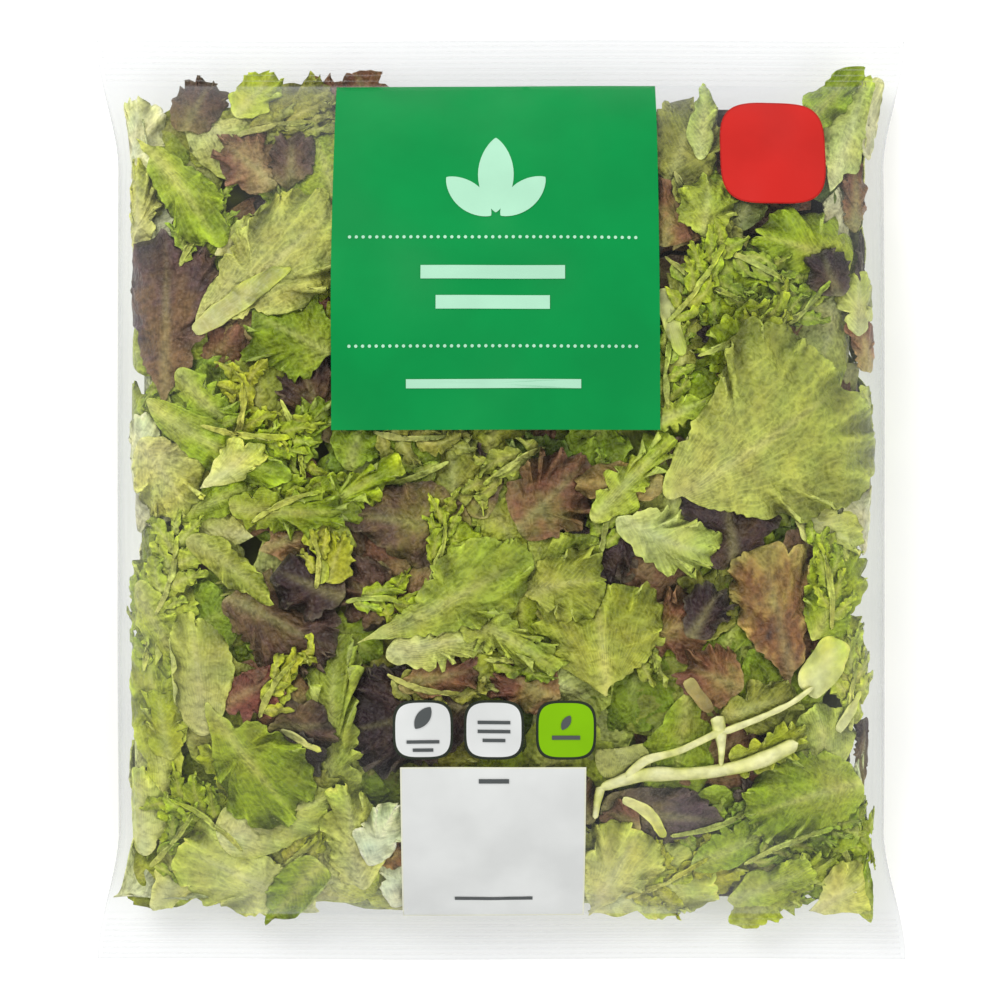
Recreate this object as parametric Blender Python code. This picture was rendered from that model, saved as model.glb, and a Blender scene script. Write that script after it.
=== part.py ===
"""A sealed pillow bag of mixed salad leaves, lying on its back with its printed face up.

One closed solid in metres: +Z up, +Y towards the bag's top seal, origin under the middle of the bag.
The film tube is pulled in at the waist by its filling and flares out to two flat crimped end seals.
It bulges over the leaves, creases where it runs into the seals, and lies flat on the table over most
of its back.
"""

import math

import bmesh
import bpy

# Driving sizes of the bag
FLAT_WIDTH = 0.220        # film laid flat, as the end seals keep it
FULL_HEIGHT = 0.250       # over both end seals
WAIST_WIDTH = 0.2075      # where the filling pulls the sides in
THICKNESS = 0.050         # table to the top of the bulge, without its lumps
SEAL_DEPTH = 0.012        # one crimped end seal
SEAL_THICKNESS = 0.0010   # two films and their crimping

# How the film runs between the seals
EDGE_HEIGHT = 0.018       # side edge above the table at the waist
SEAL_HEIGHT = 0.011       # end seals above the table
FLARE_LENGTH = 0.036      # from the end of the bag to its full waist
SHOULDER_LENGTH = 0.074   # from a seal to the full bulge
SHOULDER_POWER = 0.8      # under 1: the bulge rises fast out of the seal
BACK_PRESS = 1.45         # how far the back would bulge without the table, in edge heights
SECTION_POWER = 2.4       # roundness of the bulge across the bag
SECTION_RISE = 0.56       # steepness of the bulge at the side edges

# The seals: crimp ribs along them, and their slow wave across the bag
RIB_COUNT = 5
RIB_HEIGHT = 0.0004
SEAL_WAVE_HEIGHT = 0.0016
SEAL_WAVE_LENGTH = 0.150
SEAL_WAVE_TURNS = {"top": 0.5, "bottom": 2.4}   # radians, so the two seals differ

# Puckers of the film next to the seals: wavelength and share of the depth
PUCKER_DEPTH = 0.0010
PUCKER_START = 0.008      # from the seal to their full depth
PUCKER_REACH = 0.028
PUCKER_TURNS = {"top": 0.7, "bottom": 2.2}
PUCKERS = ((0.0330, 1.0), (0.0215, 0.7))

# Long creases of the film: start across, start along, heading in degrees, length, height
CREASES = (
    (-0.092, 0.114, -61, 0.056, 0.0026),
    (-0.058, 0.114, -74, 0.038, 0.0015),
    (0.031, 0.114, -97, 0.034, 0.0013),
    (0.090, 0.114, -120, 0.052, 0.0025),
    (-0.091, -0.114, 59, 0.052, 0.0024),
    (-0.047, -0.114, 80, 0.034, 0.0014),
    (0.044, -0.114, 99, 0.036, 0.0015),
    (0.093, -0.114, 122, 0.058, 0.0026),
    (-0.101, 0.046, -24, 0.034, 0.0013),
    (0.101, -0.020, 158, 0.036, 0.0014),
)
CREASE_WIDTH = 0.0055
CREASE_POWER = 0.6        # under 1: a crease is highest near its start
BACK_RELIEF = 0.5         # how much of the folds and lumps shows on the back

# Lumps of the leaves under the film: waves across, waves along, turn, height
LUMPS = (
    (2.1, 1.3, 0.4, 0.00100),
    (-1.4, 2.6, 1.9, 0.00095),
    (3.7, -1.9, 3.1, 0.00075),
    (2.9, 4.3, 5.0, 0.00065),
    (-5.2, 3.4, 0.9, 0.00050),
    (5.9, 5.1, 2.5, 0.00040),
)

# Mesh
COLUMNS = 34              # faces across one film
BODY_ROWS = 42            # rows of faces between the seals
ROWS_PER_RIB = 4          # rows of faces in one crimp rib
EDGE_GATHER = 0.8         # 0 to 1: how closely the columns gather at the side edges
SHARP_ANGLE = 50          # degrees
FILM_COLOUR = (0.42, 0.52, 0.13)
FILM_ROUGHNESS = 0.3


def eased(share):
    """0 to 1 with a level start and end."""
    share = min(max(share, 0.0), 1.0)
    return share * share * (3.0 - 2.0 * share)


def from_seal(y):
    """Distance from y to the nearer seal, negative inside it."""
    return FULL_HEIGHT / 2 - SEAL_DEPTH - abs(y)


def half_width(y):
    """Half of the bag's width at y: wide at the seals, drawn in by the filling between them."""
    from_end = FULL_HEIGHT / 2 - abs(y)
    drawn_in = (FLAT_WIDTH - WAIST_WIDTH) / 2
    return FLAT_WIDTH / 2 - drawn_in * eased(from_end / FLARE_LENGTH)


def bulge_along(y):
    """Share of the full bulge at y: 0 in the seals, 1 over the middle."""
    share = min(max(from_seal(y) / SHOULDER_LENGTH, 0.0), 1.0)
    return math.sin(share * math.pi / 2) ** SHOULDER_POWER


def end_name(y):
    """Which end of the bag y belongs to."""
    return "top" if y > 0 else "bottom"


def bulge_across(side):
    """Share of the full bulge at side, which runs from -1 to 1 over the bag's width."""
    return (1.0 - abs(side) ** SECTION_POWER) ** SECTION_RISE


def edge_height(x, y):
    """Height of the films' meeting line: a slow wave in the seals, higher and level at the waist."""
    turn = SEAL_WAVE_TURNS[end_name(y)]
    wave = SEAL_WAVE_HEIGHT * math.sin(2 * math.pi * x / SEAL_WAVE_LENGTH + turn)
    filled = bulge_along(y)
    return SEAL_HEIGHT + (EDGE_HEIGHT - SEAL_HEIGHT) * filled + wave * (1.0 - filled)


def lumps(x, y):
    """Soft lumps that the leaves press into the film."""
    total = 0.0
    for across, along, turn, height in LUMPS:
        phase = 2 * math.pi * (across * x / FLAT_WIDTH + along * y / FULL_HEIGHT) + turn
        total += height * math.sin(phase)
    return total


def puckers(x, y):
    """Small folds that run out of the nearer seal and die away over the shoulder."""
    distance = max(from_seal(y), 0.0)
    reach = eased(distance / PUCKER_START) * math.exp(-((distance / PUCKER_REACH) ** 2))
    turn = PUCKER_TURNS[end_name(y)]
    wave = sum(share * math.sin(2 * math.pi * x / length + turn) for length, share in PUCKERS)
    return PUCKER_DEPTH * reach * wave


def creases(x, y):
    """Long creases, each a ridge that rises fast from its start and fades out."""
    total = 0.0
    for start_x, start_y, heading, length, height in CREASES:
        turn = math.radians(heading)
        along = ((x - start_x) * math.cos(turn) + (y - start_y) * math.sin(turn)) / length
        beside = (y - start_y) * math.cos(turn) - (x - start_x) * math.sin(turn)
        if 0.0 < along < 1.0:
            ridge = math.exp(-((beside / CREASE_WIDTH) ** 2))
            total += height * math.sin(math.pi * along ** CREASE_POWER) * ridge
    return total


def crimp(y):
    """Offset of both films where a crimp rib crosses y."""
    into_seal = max(-from_seal(y), 0.0)
    return RIB_HEIGHT * math.sin(2 * math.pi * RIB_COUNT * into_seal / SEAL_DEPTH)


def front_and_back(side, y):
    """Heights of the upper and the lower film over one place."""
    x = side * half_width(y)
    middle = edge_height(x, y) + crimp(y)
    share = bulge_along(y) * bulge_across(side)
    relief = (lumps(x, y) + puckers(x, y) + creases(x, y)) * math.sqrt(share)
    front = middle + SEAL_THICKNESS / 2 + (THICKNESS - EDGE_HEIGHT) * share + relief
    back = middle - SEAL_THICKNESS / 2 - BACK_PRESS * EDGE_HEIGHT * share - BACK_RELIEF * relief
    return front, max(back, 0.0)


def rows_along():
    """The y of each row of points: close together in the seals, so that every rib has its shape."""
    inner = FULL_HEIGHT / 2 - SEAL_DEPTH
    steps = RIB_COUNT * ROWS_PER_RIB
    seal = [inner + SEAL_DEPTH * step / steps for step in range(1, steps + 1)]
    even = [-inner + 2 * inner * row / BODY_ROWS for row in range(BODY_ROWS + 1)]
    gathered = [-inner * math.cos(math.pi * row / BODY_ROWS) for row in range(BODY_ROWS + 1)]
    body = [(near + far) / 2 for near, far in zip(gathered, even)]
    return [-y for y in reversed(seal)] + body + seal


def sides_across():
    """Places across the bag, from -1 to 1, gathered towards the side edges."""
    even = [2 * column / COLUMNS - 1 for column in range(COLUMNS + 1)]
    gathered = [math.sin(math.pi * place / 2) for place in even]
    return [EDGE_GATHER * near + (1 - EDGE_GATHER) * far for near, far in zip(gathered, even)]


def plastic(name, colour, roughness):
    """A Principled material."""
    material = bpy.data.materials.new(name)
    material.use_nodes = True
    shader = material.node_tree.nodes["Principled BSDF"]
    shader.inputs["Base Color"].default_value = (*colour, 1.0)
    shader.inputs["Roughness"].default_value = roughness
    shader.inputs["Metallic"].default_value = 0.0
    return material


def ring(bed, y):
    """One closed row of points round the bag: the upper film left to right, the lower film back."""
    upper = []
    lower = []
    for side in sides_across():
        front, back = front_and_back(side, y)
        x = side * half_width(y)
        upper.append(bed.verts.new((x, y, front)))
        lower.append(bed.verts.new((x, y, back)))
    return upper + lower[::-1]


def close_end(bed, end):
    """Faces over the open end of the bag, between its upper and its lower film."""
    half = len(end) // 2
    for place in range(half - 1):
        bed.faces.new((end[place], end[place + 1], end[-place - 2], end[-place - 1]))


def salad_bag():
    """The whole bag as one closed solid."""
    bed = bmesh.new()
    rings = [ring(bed, y) for y in rows_along()]
    for first, second in zip(rings, rings[1:]):
        for place in range(len(first)):
            after = (place + 1) % len(first)
            bed.faces.new((first[place], second[place], second[after], first[after]))
    close_end(bed, rings[0])
    close_end(bed, rings[-1])
    bmesh.ops.recalc_face_normals(bed, faces=bed.faces)
    mesh = bpy.data.meshes.new("salad_bag")
    bed.to_mesh(mesh)
    bed.free()
    mesh.shade_smooth()
    mesh.set_sharp_from_angle(angle=math.radians(SHARP_ANGLE))
    mesh.materials.append(plastic("leaves_under_clear_film", FILM_COLOUR, FILM_ROUGHNESS))
    bag = bpy.data.objects.new("salad_bag", mesh)
    bpy.context.scene.collection.objects.link(bag)
    return bag


def main():
    for left_over in list(bpy.data.objects):
        bpy.data.objects.remove(left_over)
    salad_bag()


main()
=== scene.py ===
import math

import bpy
import numpy as np
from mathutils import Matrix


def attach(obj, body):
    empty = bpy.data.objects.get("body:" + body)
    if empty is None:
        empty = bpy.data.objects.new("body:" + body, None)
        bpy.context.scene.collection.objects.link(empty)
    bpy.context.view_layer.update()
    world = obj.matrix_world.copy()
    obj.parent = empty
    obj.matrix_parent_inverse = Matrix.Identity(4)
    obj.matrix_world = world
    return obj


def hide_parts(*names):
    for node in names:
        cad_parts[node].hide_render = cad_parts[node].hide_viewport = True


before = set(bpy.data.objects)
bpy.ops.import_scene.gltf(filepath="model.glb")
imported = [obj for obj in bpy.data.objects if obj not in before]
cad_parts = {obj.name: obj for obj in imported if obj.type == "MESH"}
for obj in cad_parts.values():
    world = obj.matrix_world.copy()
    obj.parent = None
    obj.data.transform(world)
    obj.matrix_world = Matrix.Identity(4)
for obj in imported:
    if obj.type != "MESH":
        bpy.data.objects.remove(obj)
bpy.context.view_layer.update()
print("frame loaded")


# Short ways to add nodes

def addNode(tree, kind, inputs=None, **settings):
    node = tree.nodes.new(kind)
    for name, value in settings.items():
        setattr(node, name, value)
    for place, value in (inputs or {}).items():
        if isinstance(value, bpy.types.NodeSocket):
            tree.links.new(value, node.inputs[place])
        else:
            node.inputs[place].default_value = value
    return node


def maths(tree, operation, *values, **settings):
    node = addNode(tree, "ShaderNodeMath", dict(enumerate(values)), operation=operation, **settings)
    return node.outputs[0]


def carried(tree, value, fromRange, toRange, course="LINEAR"):
    # a value of one range carried over to another
    return addNode(tree, "ShaderNodeMapRange", {
        "Value": value,
        "From Min": fromRange[0],
        "From Max": fromRange[1],
        "To Min": toRange[0],
        "To Max": toRange[1],
    }, interpolation_type=course).outputs[0]


def objectPlace(tree):
    return addNode(tree, "ShaderNodeTexCoord").outputs["Object"]


def noise(tree, scale, detail):
    sizes = {"Vector": objectPlace(tree), "Scale": scale, "Detail": detail}
    return addNode(tree, "ShaderNodeTexNoise", sizes).outputs[0]


def ramp(tree, value, *stops):
    # two places on the value's way, each with its colour
    node = addNode(tree, "ShaderNodeValToRGB", {0: value})
    for element, (position, colour) in zip(node.color_ramp.elements, stops):
        element.position = position
        element.color = (*colour, 1)
    return node.outputs[0]


def bump(tree, strength, distance, height):
    sizes = {"Strength": strength, "Distance": distance, "Height": height}
    return addNode(tree, "ShaderNodeBump", sizes).outputs[0]


def paint(tree, colour, roughness, specular=0.5, **more):
    sockets = {"Base Color": colour, "Roughness": roughness, "Specular IOR Level": specular, **more}
    return addNode(tree, "ShaderNodeBsdfPrincipled", sockets).outputs[0]


def clearAnd(tree, share, clearColour, shader):
    # mostly clear film, with a share of another shader
    clear = addNode(tree, "ShaderNodeBsdfTransparent", {"Color": clearColour})
    return addNode(tree, "ShaderNodeMixShader", {0: share, 1: clear.outputs[0], 2: shader}).outputs[0]


def blankMaterial(name):
    material = bpy.data.materials.new(name)
    material.use_nodes = True
    material.node_tree.nodes.clear()
    return material, material.node_tree


def finishMaterial(material, shader):
    addNode(material.node_tree, "ShaderNodeOutputMaterial", {"Surface": shader})
    return material


# Camera, light and floor

studio = {
    "cameraHeight": 1.058,
    "cameraShift": -0.0003,       # the bag sits a hair right of the middle
    "fieldWidth": 0.2723,         # what the frame shows at the height of the end seals
    "sealLevel": 0.0115,
    "sensorWidth": 36,
    "skyStrength": 0.655,
    "floorGlow": 0.33,
    "floorReach": 3,
    "lightTarget": (0, 0, 0.02),
}
# place, sides and power
softboxes = {
    "keyLight": ((-0.70, 0.80, 1.00), (0.7, 0.7), 9.6),
    "fillLight": ((0.95, -0.45, 0.80), (0.8, 0.8), 4.4),
}


def aim(thing, target):
    away = np.array(target) - np.array(thing.location)
    flat = math.hypot(away[0], away[1])
    thing.rotation_euler = (math.atan2(flat, -away[2]), 0, math.atan2(-away[0], away[1]))


def putInScene(name, data):
    piece = bpy.data.objects.new(name, data)
    bpy.context.scene.collection.objects.link(piece)
    return piece


def makeCamera():
    lens = bpy.data.cameras.new("camera")
    lens.sensor_width = studio["sensorWidth"]
    distance = studio["cameraHeight"] - studio["sealLevel"]
    lens.lens = studio["sensorWidth"] * distance / studio["fieldWidth"]
    lens.clip_start = 0.05
    camera = putInScene("camera", lens)
    camera.location = (studio["cameraShift"], 0, studio["cameraHeight"])
    bpy.context.scene.camera = camera


def softbox(name, place, sides, power):
    light = bpy.data.lights.new(name, "AREA")
    light.shape = "RECTANGLE"
    light.size, light.size_y = sides
    light.energy = power
    box = putInScene(name, light)
    box.location = place
    aim(box, studio["lightTarget"])


def makeSky():
    world = bpy.data.worlds.new("softSky")
    world.use_nodes = True
    sky = world.node_tree.nodes["Background"]
    sky.inputs["Color"].default_value = (1, 1, 1, 1)
    sky.inputs["Strength"].default_value = studio["skyStrength"]
    bpy.context.scene.world = world


def makeFloor():
    far = studio["floorReach"]
    floorMesh = bpy.data.meshes.new("floor")
    corners = [(-far, -far, 0), (far, -far, 0), (far, far, 0), (-far, far, 0)]
    floorMesh.from_pydata(corners, [], [(0, 1, 2, 3)])
    floor = putInScene("floor", floorMesh)
    material, tree = blankMaterial("paleFloor")
    glow = {"Emission Color": (1, 1, 1, 1), "Emission Strength": studio["floorGlow"]}
    floorMesh.materials.append(finishMaterial(material, paint(tree, (0.86, 0.86, 0.86, 1), 0.9, 0.1, **glow)))


bpy.context.scene.view_settings.view_transform = "Standard"
makeCamera()
makeSky()
for name, (place, sides, power) in softboxes.items():
    softbox(name, place, sides, power)
makeFloor()
print("camera, light and floor made")


# The two films of the bag: their heights over any place

bag = {
    "flatWidth": 0.220,
    "fullHeight": 0.250,
    "waistWidth": 0.2075,
    "thickness": 0.050,
    "sealDepth": 0.012,
    "sealThickness": 0.0010,
    "edgeHeight": 0.018,
    "sealHeight": 0.011,
    "flareLength": 0.036,
    "shoulderLength": 0.074,
    "shoulderPower": 0.8,
    "backPress": 1.45,
    "backRelief": 0.5,
    "sectionPower": 2.4,
    "sectionRise": 0.56,
    "sealWaveHeight": 0.0016,
    "sealWaveLength": 0.150,
    "sealWaveTurns": (0.5, 2.4),    # top and bottom, in radians
    "puckerDepth": 0.0010,
    "puckerStart": 0.008,
    "puckerReach": 0.028,
    "puckerTurns": (0.7, 2.2),
    "puckers": ((0.0330, 1.0), (0.0215, 0.7)),
    "creaseWidth": 0.0055,
    "creasePower": 0.6,
}
# Start across, start along, heading, length, height
creases = (
    (-0.092, 0.114, -61, 0.056, 0.0026),
    (-0.058, 0.114, -74, 0.038, 0.0015),
    (0.031, 0.114, -97, 0.034, 0.0013),
    (0.090, 0.114, -120, 0.052, 0.0025),
    (-0.091, -0.114, 59, 0.052, 0.0024),
    (-0.047, -0.114, 80, 0.034, 0.0014),
    (0.044, -0.114, 99, 0.036, 0.0015),
    (0.093, -0.114, 122, 0.058, 0.0026),
    (-0.101, 0.046, -24, 0.034, 0.0013),
    (0.101, -0.020, 158, 0.036, 0.0014),
)
# Waves across, waves along, turn, height
lumps = (
    (2.1, 1.3, 0.4, 0.00100),
    (-1.4, 2.6, 1.9, 0.00095),
    (3.7, -1.9, 3.1, 0.00075),
    (2.9, 4.3, 5.0, 0.00065),
    (-5.2, 3.4, 0.9, 0.00050),
    (5.9, 5.1, 2.5, 0.00040),
)
# Small wrinkles that only the film has: next to the seals, beside the side edges, and loose ones
wrinkles = {
    "sealStart": 0.005,
    "sealReach": 0.017,
    "sealLengths": (0.0117, 0.0073),
    "sealTurns": (1.1, 3.0),
    "sealHeight": 0.00013,
    "edgeStart": 0.0012,
    "edgeReach": 0.0052,
    "edgeLength": 0.0019,
    "edgeHeight": 0.00022,
    "looseHeight": 0.00006,
}


def eased(share):
    share = np.clip(share, 0, 1)
    return share * share * (3 - 2 * share)


def halfWidth(y):
    fromEnd = bag["fullHeight"] / 2 - np.abs(y)
    drawnIn = (bag["flatWidth"] - bag["waistWidth"]) / 2
    return bag["flatWidth"] / 2 - drawnIn * eased(fromEnd / bag["flareLength"])


def fromSeal(y):
    return bag["fullHeight"] / 2 - bag["sealDepth"] - np.abs(y)


def bulgeAlong(y):
    share = np.clip(fromSeal(y) / bag["shoulderLength"], 0, 1)
    return np.sin(share * np.pi / 2) ** bag["shoulderPower"]


def seamHeight(x, y):
    turn = np.where(y > 0, *bag["sealWaveTurns"])
    wave = bag["sealWaveHeight"] * np.sin(2 * np.pi * x / bag["sealWaveLength"] + turn)
    filled = bulgeAlong(y)
    return bag["sealHeight"] + (bag["edgeHeight"] - bag["sealHeight"]) * filled + wave * (1 - filled)


def filmRelief(x, y):
    total = np.zeros_like(x)
    for across, along, turn, height in lumps:
        phase = across * x / bag["flatWidth"] + along * y / bag["fullHeight"]
        total += height * np.sin(2 * np.pi * phase + turn)
    distance = np.maximum(fromSeal(y), 0)
    reach = eased(distance / bag["puckerStart"]) * np.exp(-((distance / bag["puckerReach"]) ** 2))
    turn = np.where(y > 0, *bag["puckerTurns"])
    for length, share in bag["puckers"]:
        total += bag["puckerDepth"] * reach * share * np.sin(2 * np.pi * x / length + turn)
    for startX, startY, heading, length, height in creases:
        turn = math.radians(heading)
        along = ((x - startX) * math.cos(turn) + (y - startY) * math.sin(turn)) / length
        beside = (y - startY) * math.cos(turn) - (x - startX) * math.sin(turn)
        crest = np.sin(np.pi * np.clip(along, 0, 1) ** bag["creasePower"])
        total += height * crest * np.exp(-((beside / bag["creaseWidth"]) ** 2))
    return total


def filmHeights(x, y):
    side = np.clip(x / halfWidth(y), -1, 1)
    across = (1 - np.abs(side) ** bag["sectionPower"]) ** bag["sectionRise"]
    share = bulgeAlong(y) * across
    relief = filmRelief(x, y) * np.sqrt(share)
    middle = seamHeight(x, y)
    half = bag["sealThickness"] / 2
    front = middle + half + (bag["thickness"] - bag["edgeHeight"]) * share + relief
    back = middle - half - bag["backPress"] * bag["edgeHeight"] * share - relief * bag["backRelief"]
    return front, np.maximum(back, 0.0)


def fineWrinkles(x, y):
    made = wrinkles
    distance = np.maximum(fromSeal(y), 0)
    nearSeal = eased(distance / made["sealStart"]) * np.exp(-((distance / made["sealReach"]) ** 2))
    turn = np.where(y > 0, *made["sealTurns"])
    long, short = made["sealLengths"]
    small = np.sin(2 * np.pi * x / long + turn) + 0.7 * np.sin(2 * np.pi * x / short - turn)
    fromEdge = halfWidth(y) - np.abs(x)
    atEdge = eased(fromEdge / made["edgeStart"]) * np.exp(-((fromEdge / made["edgeReach"]) ** 2))
    ripple = np.sin(2 * np.pi * fromEdge / made["edgeLength"] + 1.5 * np.sin(y / 0.021))
    loose = np.sin(x / 0.0061 + 1.7 * np.sin(y / 0.013)) * np.sin(y / 0.0083 + 1.3 * np.sin(x / 0.016))
    lively = np.clip(fromSeal(y) / 0.01, 0, 1) * np.clip(fromEdge / 0.004, 0, 1)
    return (made["sealHeight"] * nearSeal * small + made["edgeHeight"] * atEdge * ripple
            + made["looseHeight"] * loose * lively)


def filmTop(x, y):
    return filmHeights(x, y)[0] + fineWrinkles(x, y)


# Meshes from arrays

def linear(colour):
    shares = np.asarray(colour, float) / 255
    return np.where(shares <= 0.04045, shares / 12.92, ((shares + 0.055) / 1.055) ** 2.4)


def makePiece(name, points, faces, material, tints=None, uvs=None, crisp=False):
    mesh = bpy.data.meshes.new(name)
    size = faces.shape[1]
    mesh.vertices.add(len(points))
    mesh.vertices.foreach_set("co", np.ascontiguousarray(points, np.float32).ravel())
    mesh.loops.add(faces.size)
    mesh.loops.foreach_set("vertex_index", np.ascontiguousarray(faces, np.int32).ravel())
    mesh.polygons.add(len(faces))
    mesh.polygons.foreach_set("loop_start", np.arange(0, faces.size, size, dtype=np.int32))
    mesh.update(calc_edges=True)
    mesh.validate()
    if tints is not None:
        layer = mesh.color_attributes.new("tint", "FLOAT_COLOR", "POINT")
        rows = np.concatenate([tints, np.ones((len(tints), 1))], axis=1)
        layer.data.foreach_set("color", rows.astype(np.float32).ravel())
    if uvs is not None:
        layer = mesh.uv_layers.new(name="leafMap")
        layer.data.foreach_set("uv", uvs[faces.ravel()].astype(np.float32).ravel())
    mesh.shade_smooth()
    if crisp:
        mesh.set_sharp_from_angle(angle=math.radians(40))
    mesh.materials.append(material)
    return putInScene(name, mesh)


def closedSlab(name, x, y, upper, lower, material, crisp=False):
    # closes two grids of heights over the same places into one body
    lines, spots = x.shape
    topPoints = np.stack([x, y, upper], axis=-1).reshape(-1, 3)
    lowPoints = np.stack([x, y, lower], axis=-1).reshape(-1, 3)
    below = len(topPoints)
    place = np.arange(below).reshape(lines, spots)
    corner = place[:-1, :-1].ravel()
    faces = np.stack([corner, corner + spots, corner + spots + 1, corner + 1], axis=1)
    border = np.concatenate([place[0], place[1:, -1], place[-1, -2::-1], place[-2:0:-1, 0]])
    after = np.roll(border, -1)
    walls = np.stack([border, border + below, after + below, after], axis=1)
    allFaces = np.concatenate([faces[:, ::-1], faces + below, walls])
    return makePiece(name, np.concatenate([topPoints, lowPoints]), allFaces, material, crisp=crisp)


def aroundRing(count):
    place = np.arange(count)
    return place, (place + 1) % count


def bandFaces(first, second, place, after):
    # two triangles for each step round, between the rings that start at first and second
    return [np.stack([first + place, second + place, second + after], axis=-1),
            np.stack([first + place, second + after, first + after], axis=-1)]


def newHeap():
    return {"points": [], "faces": [], "tints": [], "uvs": [], "count": 0}


def addToHeap(heap, faces, points, tints=(), uvs=()):
    heap["faces"].append(faces + heap["count"])
    heap["points"] += points
    heap["tints"] += tints
    heap["uvs"] += uvs
    heap["count"] += sum(map(len, points))


# Leaves

# From base to margin, in the colours that they have on screen
palettes = {
    "paleHeart": ((230, 232, 168), (216, 222, 126), (202, 214, 94), (188, 204, 72)),
    "whiteGreen": ((220, 222, 150), (206, 212, 118), (194, 204, 92), (180, 194, 70)),
    "milk": ((248, 248, 218), (242, 246, 196), (236, 242, 176), (228, 238, 156)),
    "cream": ((240, 238, 172), (230, 232, 136), (220, 226, 108), (206, 218, 80)),
    "creamYellow": ((232, 230, 156), (222, 224, 128), (212, 217, 102), (198, 208, 78)),
    "paleLime": ((212, 218, 106), (196, 208, 70), (182, 198, 50), (176, 194, 44)),
    "broadGreen": ((204, 208, 116), (186, 196, 92), (172, 186, 78), (162, 178, 66)),
    "softGreen": ((206, 210, 106), (186, 198, 72), (170, 188, 54), (160, 180, 44)),
    "freshGreen": ((196, 204, 76), (162, 182, 34), (142, 168, 16), (148, 174, 20)),
    "midGreen": ((186, 198, 64), (156, 178, 34), (140, 166, 22), (138, 164, 20)),
    "brightLime": ((202, 210, 62), (176, 192, 22), (160, 182, 6), (172, 190, 16)),
    "yellowLime": ((214, 214, 82), (196, 200, 48), (182, 190, 28), (176, 186, 24)),
    "deepGreen": ((142, 160, 46), (110, 134, 22), (92, 118, 14), (88, 112, 14)),
    "olive": ((182, 180, 80), (162, 162, 58), (146, 148, 48), (136, 140, 42)),
    "paleOlive": ((196, 198, 92), (180, 188, 70), (168, 180, 58), (158, 172, 50)),
    "greyGreen": ((142, 148, 82), (122, 130, 68), (108, 118, 52), (100, 108, 50)),
    "tan": ((196, 178, 100), (178, 154, 86), (160, 134, 72), (144, 116, 62)),
    "pinkTan": ((192, 172, 98), (174, 142, 88), (146, 100, 70), (122, 76, 56)),
    "brownRed": ((166, 150, 78), (152, 116, 68), (132, 88, 60), (112, 68, 52)),
    "brownPurple": ((142, 124, 66), (120, 92, 58), (98, 70, 56), (80, 56, 52)),
    "plumBrown": ((150, 116, 72), (136, 102, 68), (104, 76, 68), (84, 64, 70)),
    "darkPurple": ((100, 76, 56), (76, 54, 54), (60, 42, 48), (50, 34, 42)),
    "greyPurple": ((144, 128, 80), (114, 96, 74), (98, 78, 76), (88, 66, 70)),
    "wineRed": ((152, 98, 72), (138, 80, 62), (126, 66, 58), (112, 58, 50)),
    "orangeBrown": ((184, 156, 64), (172, 126, 56), (158, 102, 50), (138, 88, 44)),
    "tanBrown": ((116, 80, 64), (158, 108, 66), (174, 140, 76), (186, 168, 84)),
    "olivePurple": ((184, 180, 72), (150, 130, 68), (112, 86, 64), (86, 64, 62)),
}

# How each kind of leaf grows, in millimetres: how fast it widens from its base and narrows to
# its tip, where ruffles fan out from, lobes, teeth and ruffles along the margin as spacing and
# size, how far ruffles reach in, height of the dome across, of the rib and of the crinkles, the
# rib's width at the base, how steeply the blade falls from its rib, and the spacing of its points
kindFields = ("base", "tip", "root", "lobe", "tooth", "ruffle", "reach", "dome", "rib", "crinkle", "midrib",
              "keel", "step")
kindSizes = {
    "fan": (1.10, 0.38, 0.40, (14, 1.0), (3.3, 0.30), (12, 2.3), 10, 1.4, 0.9, 0.16, 1.9, 0.06, 0.86),
    "oak": (0.70, 0.48, 0.35, (9.5, 1.5), (2.9, 0.35), (9.5, 2.6), 9, 1.2, 0.9, 0.20, 1.7, 0.20, 0.74),
    "frill": (0.58, 0.42, 0.30, (5.6, 1.0), (2.4, 0.45), (6.6, 2.7), 5.6, 1.0, 0.5, 0.22, 1.5, 0.16, 0.77),
    "tongue": (0.60, 0.45, 0.50, (12, 0.7), (4.0, 0.2), (12, 1.5), 7, 1.8, 0.8, 0.14, 1.9, 0.22, 0.88),
    "heart": (0.45, 0.75, 0.40, (12, 0.6), (4.0, 0.2), (12, 1.4), 7, 1.8, 0.9, 0.14, 2.0, 0.22, 0.88),
    "sail": (1.35, 0.60, 0.50, (15, 1.2), (3.0, 0.35), (12, 1.7), 7, 1.5, 1.2, 0.15, 2.2, 0.10, 0.86),
    "feather": (0.42, 0.50, 0.35, (5.2, 1.7), (2.4, 0.5), (6.0, 2.5), 4.6, 0.7, 1.1, 0.18, 1.5, 0.10, 0.72),
    "strap": (0.22, 0.30, 0.50, (15, 0.3), (5.0, 0.1), (14, 0.3), 4, 1.0, 0.0, 0.08, 3.0, 0.0, 0.90),
    "fringe": (0.50, 0.85, 0.50, (4.4, 1.3), (2.1, 0.5), (5.0, 1.7), 3, 0.4, 0.5, 0.15, 0.6, 0.0, 0.86),
}
kinds = {name: dict(zip(kindFields, sizes)) for name, sizes in kindSizes.items()}

leafRoom = {
    "turnDown": 0.0045,        # where leaves start to turn down at a side
    "filmGap": 0.0007,
    "thickness": 0.00034,
    "paintedShadeWithDepth": 0.102,  # painted shade: how much darker for each millimetre behind the film
    "clearance": 0.68,         # from one leaf down to the next, in millimetres
    "steepest": 1.5,           # how steeply a leaf may come up beside the one that lies on it
    "heapDepth": 12.0,         # leaves are pressed together towards this depth
    "cell": 1.25,              # of the stack that keeps their depths
    "cells": (240, 220),       # along and across
    "emptyDepth": -4.0,
}

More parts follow.
